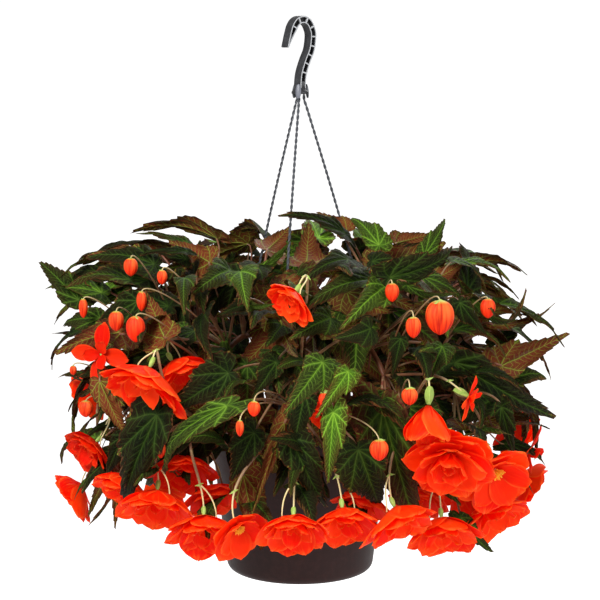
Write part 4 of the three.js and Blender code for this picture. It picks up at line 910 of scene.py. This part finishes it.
# rings of real petals, outermost first: petals, lean, length, width, bend back, cup, ruffle
PETAL_RINGS = {
    "double": [(5, 84, 1.0, 1.15, 0.14, 0.1, 0.025), (6, 72, 0.97, 0.95, 0.1, 0.12, 0.025),
               (6, 58, 0.86, 0.8, 0.06, 0.16, 0.03), (5, 40, 0.62, 0.62, 0, 0.22, 0.03),
               (3, 20, 0.4, 0.45, -0.05, 0.26, 0.03)],
    "skirt": [(6, 66, 1.12, 1.02, 0.06, 0.1, 0.02), (6, 58, 1.02, 0.86, 0.05, 0.12, 0.02),
              (5, 44, 0.74, 0.62, 0.02, 0.16, 0.025), (3, 26, 0.46, 0.4, -0.02, 0.2, 0.03)],
    "single": [(5, 78, 1.0, 1.1, 0.1, 0.12, 0.025), (5, 62, 0.85, 0.8, 0.06, 0.16, 0.025)],
    "star": [(4, 80, 1.02, 0.56, 0.08, 0.14, 0.02), (3, 50, 0.6, 0.45, 0.02, 0.2, 0.02)],
    "bell": [(4, 40, 1.15, 1.0, -0.05, 0.24, 0.03), (4, 28, 1.0, 0.8, -0.06, 0.28, 0.03)],
}
# how far a petal's tip drops, as a share of its length
SAG = {"double": 0.2, "skirt": 0.25, "single": 0.25, "star": 0.05, "bell": 0.1}
STAMENS = {"double": 12, "skirt": 12, "single": 26, "star": 12}
# across, height, layer, radius, kind, facing: to the right, to the back, up
FRONT_BLOOMS = [
    (-250, 272, 0.7, 36, "star", -0.3, -0.85, 0.1), (-189, 256, 1.05, 48, "skirt", -0.35, -0.45, -0.8),
    (-161, 264, 0.95, 36, "skirt", 0.5, -0.4, -0.75), (-258, 160, 0.65, 34, "skirt", -0.6, -0.6, -0.5),
    (-181, 98, 1, 44, "skirt", -0.1, -0.55, -0.8), (-122, 64, 1.05, 41, "skirt", 0.05, -0.6, -0.75),
    (-80, 50, 1.15, 33, "single", 0.45, -0.75, -0.5), (-150, 142, 0.75, 38, "skirt", 0, -0.6, -0.7),
    (-112, 104, 0.7, 33, "skirt", 0.2, -0.6, -0.7), (-8, 64, 1.12, 38, "skirt", 0, -0.7, -0.7),
    (54, 74, 1.08, 39, "skirt", 0.1, -0.6, -0.75), (84, 96, 0.75, 34, "skirt", -0.3, -0.5, -0.8),
    (120, 76, 1, 42, "skirt", 0.4, -0.45, -0.8), (190, 146, 1.1, 50, "double", -0.1, -0.75, -0.6),
    (246, 124, 1, 46, "single", 0.3, -0.8, -0.5), (288, 146, 0.6, 38, "star", 0.85, -0.3, -0.35),
    (180, 62, 0.98, 42, "skirt", 0.05, -0.6, -0.75), (238, 82, 0.9, 46, "skirt", 0.35, -0.6, -0.7),
    (162, 208, 1.1, 38, "bell", -0.1, -0.35, -0.95), (212, 218, 0.95, 26, "star", 0.85, -0.4, -0.35),
    (-6, 352, 0.95, 28, "skirt", -0.5, -0.5, -0.6), (30, 214, 0.82, 24, "bell", -0.2, -0.6, -0.7),
    (216, 106, 0.5, 34, "skirt", 0.1, -0.7, -0.6), (152, 100, 0.6, 32, "skirt", -0.2, -0.65, -0.7),
    (-216, 116, 0.8, 40, "skirt", -0.45, -0.5, -0.75),
]


def bloom_at(index, extra=0):
    """A bloom of the front's list, or past its end one of those that go round the back: its
    centre, the three directions it is built on, and a painted shading of 1, a deeper red, if it hangs further
    in."""
    if index < len(FRONT_BLOOMS):
        across, height, layer, radius, kind, *facing = FRONT_BLOOMS[index]
        centre, seed = place(across, height, layer, extra), index
        # painted shade: a bloom that hangs further in gets a deeper red
        age = float(layer < SHADED_LAYER)
    else:
        index -= len(FRONT_BLOOMS)
        azimuth = 78 + 204 * (index + 0.5) / BACK_BLOOMS + 8 * (draw(index, 31) - 0.5)
        height = (110, 165, 70, 215)[index % 4] + 20 * (draw(index, 32) - 0.5)
        centre = outward(azimuth) * (reach(height) * 0.96 - 8 + extra) + UP * height
        kind = ("skirt", "double", "skirt", "single")[(index + (index >> 2)) % 4]
        radius, facing = 32 + 10 * draw(index, 33), outward(azimuth) * 0.8 - UP * 0.55
        seed, age = 40 + index, 0.0
    axis = unit(np.asarray(facing, float))
    across = unit(np.cross(axis, (1.0, 0, 0) if abs(axis[2]) > 0.9 else UP))
    return {"centre": centre, "axis": axis, "across": across, "other": np.cross(axis, across),
            "radius": radius, "kind": kind, "seed": seed, "age": age}


def petal_frame(bloom, count, petal, lean, offset):
    """Directions of one petal: out along it, across it, and in towards the bloom's axis."""
    turn = 2 * np.pi * (petal + offset) / count + 0.1 * (draw(bloom["seed"] * 10 + petal, 41) - 0.5)
    turn += 2 * np.pi * draw(bloom["seed"], 42)
    lean = np.radians(lean + 10 * (draw(bloom["seed"] * 10 + petal, 43 + count) - 0.5))
    spoke = bloom["across"] * np.cos(turn) + bloom["other"] * np.sin(turn)
    return (bloom["axis"] * np.cos(lean) + spoke * np.sin(lean), np.cross(bloom["axis"], spoke),
            bloom["axis"] * np.sin(lean) - spoke * np.cos(lean))


def cad_rim(bloom):
    """Corners of the CAD bloom's outer petals, three to a petal."""
    count, lean, long, wide, curl, cup = CAD_RINGS[bloom["kind"]]
    length = long * bloom["radius"]
    points = []
    for petal in range(count):
        out, sideways, inner = petal_frame(bloom, count, petal, lean, 0.5 * (lean < 60))
        true_lean = np.arccos(out @ bloom["axis"])
        for along, across in ((0.6, -1), (1, 0.3), (0.7, 1)):
            room = np.tan(np.pi / count) * np.sin(true_lean) * along * length * 0.9
            half = min(room, wide * bloom["radius"] / 2 * (1.25 - 0.6 * along))
            rise = cup * across * across * half * 2 - curl * along * along * length
            points.append(bloom["centre"] + out * along * length + sideways * across * half + inner * rise)
    return np.array(points)


# shares along a petal, closer near its tip, and from -1 to 1 across it, closer near its edges
PETAL_S, PETAL_V = np.meshgrid(1 - (1 - np.linspace(0, 1, 13)) ** 1.5,
                               np.sin(np.linspace(-1, 1, 11) * np.pi / 2), indexing="ij")
PETAL_HALF = 0.22                 # half a petal's thickness


def sheet_pair(grid, lift, marks):
    """A closed petal from a grid of points: a face lifted by +lift and a back by -lift, which
    share the grid's border."""
    a, b = grid.shape[:2]
    front = np.arange(a * b).reshape(a, b)
    back = front.copy()
    back[1:-1, 1:-1] = a * b + np.arange((a - 2) * (b - 2)).reshape(a - 2, b - 2)
    soft = np.zeros((a, b, 1))
    soft[1:-1, 1:-1] = 1
    points = np.concatenate([(grid + lift * soft).reshape(-1, 3), (grid - lift)[1:-1, 1:-1].reshape(-1, 3)])
    quads = [np.stack([at[:-1, :-1], at[1:, :-1], at[1:, 1:], at[:-1, 1:]], axis=-1).reshape(-1, 4)[:, ::way]
             for at, way in ((front, 1), (back, -1))]
    uv = np.stack([PETAL_S, PETAL_V * 0.5 + 0.5], axis=-1)
    uv = np.concatenate([uv.reshape(-1, 2), uv[1:-1, 1:-1].reshape(-1, 2)])
    return {"points": points, "quads": np.concatenate(quads), "tris": np.zeros((0, 3), int), "finish": 0,
            "uv": uv, "marks": marks}


def fine_petal(bloom, out, sideways, inner, long, wide, curl, cup, ruffle, seed, depth):
    """A petal on a grid of (along, across): narrow at its claw, widest past the middle, blunt at
    the tip, cupped, bent back, pleated along its middle, and waved along the edge."""
    s, v = PETAL_S, PETAL_V
    radius = bloom["radius"]
    length = long * radius * (0.94 + 0.12 * draw(seed, 71))
    closing = np.maximum(0.01, 1 - np.maximum(0, (s - 0.55) / 0.455) ** 2.3) ** (0.42 + 0.16 * draw(seed, 80))
    swell = np.where(s < 0.55, 0.24 + 0.76 * np.sin(np.pi / 2 * s / 0.55), closing)
    half = wide * radius / 2 * swell * (0.92 + 0.16 * draw(seed, 72))
    tip = 0.03 * length * (1 - v ** 2) * s ** 4 - 0.05 * length * np.abs(v) ** 3 * s ** 4
    nick = 0.012 * length * np.sin(2 * np.pi * (1.4 * v + draw(seed, 73))) * s ** 6
    phase = 2 * np.pi * draw(seed, 74)
    edge = np.abs(v) ** 1.6 * s ** 0.7
    wave = ruffle * radius * (edge * np.sin(2 * np.pi * 1.9 * s + phase + 1.6 * np.sign(v))
                              + 0.7 * s ** 3 * np.sin(2 * np.pi * 1.2 * v + phase))
    twist = 0.14 * (draw(seed, 75) - 0.5) * s * v * half
    rise = cup * v * v * half * 1.4 - (curl + 0.1 * (draw(seed, 76) - 0.5)) * s ** 2.2 * length + wave + twist
    pleats = np.exp(-(v / 0.14) ** 2) + 0.5 * np.exp(-((np.abs(v) - 0.5) / 0.12) ** 2)
    crease = -0.03 * radius * np.sin(np.pi * s) * pleats
    sag = SAG[bloom["kind"]] * s ** 2 * length
    grid = (bloom["centre"] + out * (s * length + tip + nick + 0.04 * radius)[..., None] - UP * sag[..., None]
            + sideways * (v * half)[..., None] + inner * (rise + crease)[..., None])
    # painted shade: depth deepens the red of the inner rings, and the bloom's own mark that of blooms hanging
    # further in
    marks = {"depth": depth, "tone": draw(seed, 77), "shift": 10 * draw(seed, 78), "age": bloom["age"]}
    return sheet_pair(grid, inner * PETAL_HALF, marks)


def fine_bloom(bloom, number):
    """All petals of a bloom, and the stamens in the middle of a single one and of some others."""
    kind, parts = bloom["kind"], []
    table = PETAL_RINGS[kind]
    for ring, (count, lean, *shape) in enumerate(table):
        offset = 0.5 * (CAD_RINGS[kind][1] < 60) + ring * 0.5 + 0.13 * (ring > 0) * draw(number, 79 + ring)
        for petal in range(count):
            parts.append(fine_petal(bloom, *petal_frame(bloom, count, petal, lean, offset), *shape,
                                    number * 50 + ring * 7 + petal, ring / len(table)))
    if kind == "single" or draw(number, 110) < 0.5 and kind != "bell":
        for stamen in range(STAMENS[kind]):
            tilt = np.radians(48 * np.sqrt((stamen + 0.5) / STAMENS[kind]))
            turn = stamen * 2.39996       # the golden angle
            spoke = bloom["across"] * np.cos(turn) + bloom["other"] * np.sin(turn)
            out = bloom["axis"] * np.cos(tilt) + spoke * np.sin(tilt)
            size = bloom["radius"] * (0.26 + 0.05 * draw(stamen, number))
            line = bloom["centre"] + out * np.linspace(0.02, 1, 6)[:, None] * size
            parts.append(tube(line, np.array([0.35, 0.35, 0.4, 0.9, 1.0, 0.5]), 5, 1, {"depth": 1.0}))
    return parts


def stalk(line, girths, redness, sides):
    """A thin stalk that pales from tan at the stem to cream at the flower, ring by ring."""
    share = np.clip(np.concatenate([np.repeat(redness, sides), redness[[0, -1]]]), 0, 1)
    return tube(line, girths, sides, STEM_SKIN, {"ruddy": 0.75 * share, "tone": 0.9 - 0.5 * share})


def pedicel_curve(bloom, shoot, bulge):
    """Leaves its stem, swings outwards, and ends just behind the bloom."""
    end = bloom["centre"] - bloom["axis"] * (HEART * bloom["radius"] + CLEARANCE)
    start = stem_step(shoot, end, 110)
    gap = np.linalg.norm(end - start)
    swell = outward(azimuth_of(end)) * bulge
    return (start, start + (end - start) * 0.3 + UP * gap * 0.12 + swell,
            end - bloom["axis"] * gap * 0.3 + UP * gap * 0.15, end)


def twin_curve(bloom, fork, side):
    """The cluster's other stalk, from the fork over to one side and down into the bloom's back."""
    end = bloom["centre"] + (bloom["across"] * 0.34 * side + bloom["axis"] * 0.1) * bloom["radius"]
    gap = np.linalg.norm(end - fork)
    return (fork, fork + (end - fork) * 0.3 + bloom["across"] * 0.2 * side * gap, end + UP * 0.3 * gap, end)


def bracts(fork, seed, length):
    """Two small pointed bracts that stand out on either side of a fork."""
    heading = unit(outward(azimuth_of(fork)))
    for turn in (-1, 1):
        side = np.cross(heading, UP) * turn
        tip = fork + unit(side + heading * 0.5 + UP * (1.6 * draw(seed, 84 + turn) - 0.9)) * length
        leaf = leaf_frame(fork, tip, heading + UP * 0.4, 0.7, 0, 0.1, 0.2, 1)
        blade = fine_leaf(leaf, seed, (0.5, 0, 0), BRACT_TEETH, BRACT_RINGS)
        blade["finish"] = BRACT_SKIN
        yield blade


def ovary(bloom):
    """The stalk's swollen end at the petals' foot. Female blooms have an ovary with three wings there."""
    length, girth, wings = (15.0, 1.9, 2.8) if bloom["kind"] in ("bell", "star") else (6.0, 1.5, 0.5)
    neck = np.linspace(0, 1, 12)[:, None]
    turn = 2 * np.pi * np.arange(OVARY_SIDES) / OVARY_SIDES
    line = bloom["centre"] - bloom["axis"] * (length + HEART * bloom["radius"] + CLEARANCE) * (1 - neck)
    fins = np.maximum(0, np.cos(1.5 * turn)) ** 6 + np.maximum(0, -np.cos(1.5 * turn)) ** 6
    r = 1.2 + np.sin(np.pi * (0.08 + 0.84 * neck) ** 0.8) * (girth + wings * fins)
    skin = rings(hoops(line, bloom["across"], bloom["other"], r, r, OVARY_SIDES), BRACT_SKIN)
    skin["marks"] = {"tone": 0.5}
    return skin


# petals carry a faint painted glow: a red emission that stands in for the light thin petals pass on
petal_skin, shader = finish_of("petal_skin", Specular_IOR_Level=0.05, Subsurface_Weight=0.25,
                               Subsurface_Radius=(1.0, 0.2, 0.04), Subsurface_Scale=0.005,
                               Emission_Color=(1.0, 0.012, 0.001, 1), Emission_Strength=0.08)
along, across, spot = fanned(shader, 1.6, 13.0, "shift")
lines = noise(spot, 1.3, 3.0)[0]
cloud = noise(source(shader, "TexCoord", "Object"), 45.0, 3.0)[0]
side_edge = times(calc("ABSOLUTE", calc("SUBTRACT", across, 0.5)), 2.0)
edge = calc("MAXIMUM", ramp(side_edge, 0.75, 1.0), ramp(along, 0.84, 1.0))
# from red to orange by petal; paler veins and edges; painted shade: deeper red at the claw, in inner rings
# and on blooms that hang further in
petal = layered(
    "ee0a00", (scaled(mark(shader, "tone"), 0.85, scaled(cloud, 0.6, -0.25)), "ff420c"),
    (times(ramp(lines, 0.5, 0.75), 0.4), "ff4c10"),
    (times(times(edge, ramp(lines, 0.25, 0.7)), 0.85), "ff6826"),
    (times(ramp(along, 0.42, 0.0), 0.7), "b40a02"), (times(mark(shader, "depth"), 0.45), "cc0e03"),
    (times(mark(shader, "age"), 0.55), "a80a04"))
coat(shader, petal, lines, 0.45, 0.65, 0.35, 0.0006, lines)

stamen_skin, shader = finish_of("stamen_skin", Specular_IOR_Level=0.35)
dust = noise(source(shader, "TexCoord", "Object"), 900.0, 2.0)[0]
coat(shader, layered("f2a415", (dust, "ffd84a")), dust, 0.5, 0.8)

rings_on, stalk_end = np.arange(STALK_STEPS), STALK_STEPS - 1
girths = np.interp(rings_on, [0, FORK - 2, FORK + 1, stalk_end], [1.9, 1.6, 1.05, 0.9])
redness = np.interp(rings_on, [0, 8, FORK - 2, FORK + 1, stalk_end], [1.6, 1.1, 0.7, 0.1, -0.2])
for index in range(len(FRONT_BLOOMS) + BACK_BLOOMS):
    name = f"bloom_{index + 1:02d}"
    bloom = packed_one([bloom_at(index, extra) for extra in BLOOM_STEPS], cad_rim, name)
    dressed = piece(f"{name}_petals", [petal_skin, stamen_skin], fine_bloom(bloom, index + 1), crease=70)
    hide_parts(name)
    shoot = shoot_of(bloom["centre"])
    curves = [pedicel_curve(bloom, shoot, bulge) for bulge in BULGES]
    line = packed_curve(curves, [1, 2, 3], PEDICEL_R, shoot_name(shoot), STALK_STEPS)
    grown[shoot] += [stalk(line, girths, redness, 8), *bracts(line[FORK], index + 700, BRACT_LENGTH)]
    if bloom["kind"] in ("skirt", "double"):
        twin = bezier(twin_curve(bloom, line[FORK], 1 if draw(index, 111) < 0.5 else -1), TWIN_STEPS)
        grown[shoot].append(stalk(twin, np.linspace(1.0, 0.75, TWIN_STEPS), np.zeros(TWIN_STEPS), 7))
    grown[shoot].append(ovary(bloom))

# ---- Buds ------------------------------------------------------------------------------------
# Closed blooms: two valves pressed together into a flattened heart, orange with paler streaks and
# greener by the stalk, each nodding on its own thin stalk.
BUD_STALK_STEPS, BUD_SIDES = 22, 24
# across, height, layer, length, width
FRONT_BUDS = [
    (-211, 383, 0.85, 20, 17), (-198, 340, 0.95, 22, 12), (-271, 331, 0.75, 22, 11), (-230, 315, 0.9, 22, 18),
    (-206, 305, 1, 28, 22), (-270, 203, 0.85, 19, 18), (-285, 252, 0.7, 11, 9), (-76, 178, 1.08, 17, 9),
    (-58, 203, 1.04, 16, 14), (100, 150, 1.08, 22, 21), (115, 351, 1, 20, 16), (142, 307, 1.08, 22, 17),
    (175, 320, 1.12, 36, 32), (235, 331, 0.75, 22, 18), (138, 219, 1.12, 18, 18), (-172, 370, 0.85, 16, 12),
    (30, 214, 1.0, 16, 12), (-176, 150, 0.98, 18, 11),
]


def fine_bud(centre, length, width, index):
    """A closed bud: rings from its tip up to its stalk, pinched in at the two seams and flattened."""
    swing = np.linspace(0.03, 0.96, 16)[:, None] * np.pi
    s = (1 - np.cos(swing)) / 2
    turn = 2 * np.pi * np.arange(BUD_SIDES) / BUD_SIDES + draw(index, 81) * 3
    across = np.abs(np.sin(turn))
    seam = (1 - 0.10 * np.exp(-((across - 1) / 0.03) ** 2)) * (1 - 0.20 * across ** 2)
    r = 0.5 * width * np.sin(swing) ** 0.9 * (0.9 + 0.16 * s) * seam
    z = length * (s - 0.5) - 0.06 * length * (1 - s) * across
    skin = rings(centre + np.stack([r * np.cos(turn), r * np.sin(turn), z], axis=-1), BUD_SKIN)
    uv = np.stack(np.broadcast_arrays(s, (turn / (2 * np.pi)) % 1), axis=-1).reshape(-1, 2)
    skin["uv"] = np.concatenate([uv, [[0, 0], [1, 0]]])
    skin["marks"] = {"blush": 0.7 * draw(index, 82) ** 2}
    return skin


for index, (across, height, layer, length, width) in enumerate(FRONT_BUDS):
    shoot = shoot_of(place(across, height, layer))
    belt = outward(60 * np.arange(6)) * 0.5 * width - UP * 0.08 * length
    centre = packed_one([place(across, height, layer, extra) for extra in BLOOM_STEPS],
                        lambda trial: trial + belt, shoot_name(shoot))
    top = centre + UP * length * 0.4
    start = stem_step(shoot, top, 60)
    gap = np.linalg.norm(top - start)
    line = bezier((start, start + (top - start) * 0.4 + UP * gap * 0.2, top + UP * gap * 0.15, top),
                  BUD_STALK_STEPS)
    grown[shoot] += [
        stalk(line, np.linspace(1.0, 0.7, BUD_STALK_STEPS), np.linspace(1.6, 0.1, BUD_STALK_STEPS), 7),
        fine_bud(centre, length, width, index), *bracts(top + UP * length * 0.06, index + 760, 0.34 * width)]

# ---- Young growth ----------------------------------------------------------------------------
# Smaller leaves on every stem, between the large ones and behind them, on thin petioles of their
# own: "count" of them climb from the height "foot", "spread" and "fan" are degrees, and "facing" is
# the share that shows its upper face. A pair of numbers is a least value and what a draw may add.
OUTER = {"seed": 300, "count": 14, "foot": 130, "climb": 280, "spread": 30, "least": 135.0, "fan": 90,
         "out": 1.0, "lifted": 0.9, "facing": 1.0, "fold": 0.1, "from_stem": 50, "hump": 10, "dip": 8,
         "steps": 10, "girth": 1.5, "looks": "dmdkdgdmr", "teeth": 18, "tone": 0.3, "inside": (0.62, 0.2),
         "rise": (0.35, -1.1), "length": (48, 34), "width": (0.62, 0.3), "arch": (0.08, 0.08),
         "ruddy": (0.3, 0.5)}
INNER = {"seed": 600, "count": 18, "foot": 175, "climb": 225, "spread": 34, "least": 70.0, "fan": 150,
         "out": 0.6, "lifted": 0.5, "facing": 0.62, "fold": 0.08, "from_stem": 40, "hump": 0, "dip": 0,
         "steps": 8, "girth": 1.4, "looks": "ddmdkdgdr", "teeth": 13, "tone": 0.2, "inside": (0.3, 0.36),
         "rise": (0.2, -1.2), "length": (62, 40), "width": (0.72, 0.3), "arch": (0.06, 0),
         "ruddy": (0.8, 0)}
YOUNG_RINGS = 4


def young_leaf(kind, shoot, number):
    """A small leaf and its petiole, the number-th up a stem."""
    seed = kind["seed"] + shoot * kind["count"] + number

    def drawn(name, row):
        """A least value plus a drawn share of what may be added to it."""
        least, more = kind[name]
        return least + more * draw(seed, row)

    height = kind["foot"] + kind["climb"] * (number + draw(seed, 91)) / kind["count"]
    azimuth = shoot * STEM_PITCH + kind["spread"] * (draw(seed, 92) - 0.5)
    base = outward(azimuth) * max(kind["least"], reach(height) * drawn("inside", 93)) + UP * height
    heading = outward(azimuth + kind["fan"] * (draw(seed, 94) - 0.5)) * kind["out"] + UP * drawn("rise", 95)
    tip = base + unit(heading) * drawn("length", 96)
    faces = (outward(azimuth) + UP * kind["lifted"]) * (1 if draw(seed, 102) < kind["facing"] else -1)
    leaf = leaf_frame(base, tip, faces, drawn("width", 97), 50 * (draw(seed, 98) - 0.5), drawn("arch", 99),
                      kind["fold"], 1 if number % 2 else -1)
    start = stem_step(shoot, base, kind["from_stem"])
    behind = base - leaf["axis"] * 12 - leaf["up"] * kind["dip"]
    line = bezier((start, start + (base - start) * 0.3 + UP * kind["hump"], behind,
                   base + leaf["axis"] * 1.5), kind["steps"])
    look = LOOKS[kind["looks"][int(draw(seed, 100) * len(kind["looks"]))]]
    return [fine_leaf(leaf, seed, look, kind["teeth"], YOUNG_RINGS),
            tube(line, np.linspace(kind["girth"], 0.9, kind["steps"]), 6, STEM_SKIN,
                 {"ruddy": drawn("ruddy", 101), "tone": kind["tone"]})]


for shoot, parts in enumerate(grown):
    for kind in (OUTER, INNER):
        for number in range(kind["count"]):
            parts += young_leaf(kind, shoot, number)
    foliage = piece(f"{shoot_name(shoot)}_foliage", FOLIAGE, parts, crease=60)
    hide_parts(shoot_name(shoot))

# ---- Studio ----------------------------------------------------------------------------------
# A white floor well below the basket, even white light all round, a soft main light from the
# upper left, and the camera a little above the pot, looking down at it by eight degrees.
VIEW_AIM = np.array([0.0, 0.0, 341.0])
VIEW_DISTANCE, VIEW_RISE, VIEW_LENS, SENSOR = 2250.0, np.radians(8), 108.0, 36.0
FLOOR_DROP = 700.0


def aimed(thing, at):
    """Stands a camera or light at a point and turns it to the basket's middle."""
    line = metres(VIEW_AIM) - metres(at)
    yaw, tilt = np.arctan2(line[1], line[0]) - np.pi / 2, np.arctan2(line[2], np.hypot(line[0], line[1]))
    made = bpy.data.objects.new(thing.name, thing)
    made.location = metres(at)
    made.rotation_euler = (np.pi / 2 + tilt, 0, yaw)
    bpy.context.scene.collection.objects.link(made)
    return made


def soft_light(name, at, size, power):
    """A square area light that faces the basket."""
    light = bpy.data.lights.new(name, "AREA")
    light.size, light.energy = size, power
    aimed(light, at)


bpy.ops.mesh.primitive_plane_add(size=60, location=metres((0, 0, -FLOOR_DROP)))
floor = bpy.context.object
floor.name = "studio_floor"
floor_paint, shader = finish_of("floor_paint", Base_Color=(0.92, 0.92, 0.92, 1), Roughness=0.9,
                                Specular_IOR_Level=0.0, Emission_Color=(1, 1, 1, 1))
link(times(source(shader, "LightPath", "Is Camera Ray"), 0.75), shader.inputs["Emission Strength"])
floor.data.materials.append(floor_paint)
world = bpy.data.worlds.new("studio")
world.use_nodes = True
sky = world.node_tree.nodes["Background"]
sky.inputs["Color"].default_value = (1, 1, 1, 1)
link(scaled(source(sky, "LightPath", "Is Camera Ray"), 0.65, 0.4), sky.inputs["Strength"])
bpy.context.scene.world = world
soft_light("main_light", (-1000, -1900, 1700), 0.9, 80)
soft_light("fill_light", (1700, -1300, 500), 1.6, 24)
soft_light("rim_light", (600, 1500, 1500), 1.2, 30)
camera = bpy.data.cameras.new("camera")
camera.lens, camera.sensor_width = VIEW_LENS, SENSOR
eye = VIEW_AIM + VIEW_DISTANCE * np.array([0, -np.cos(VIEW_RISE), np.sin(VIEW_RISE)])
bpy.context.scene.camera = aimed(camera, eye)
bpy.context.scene.view_settings.view_transform = "Standard"
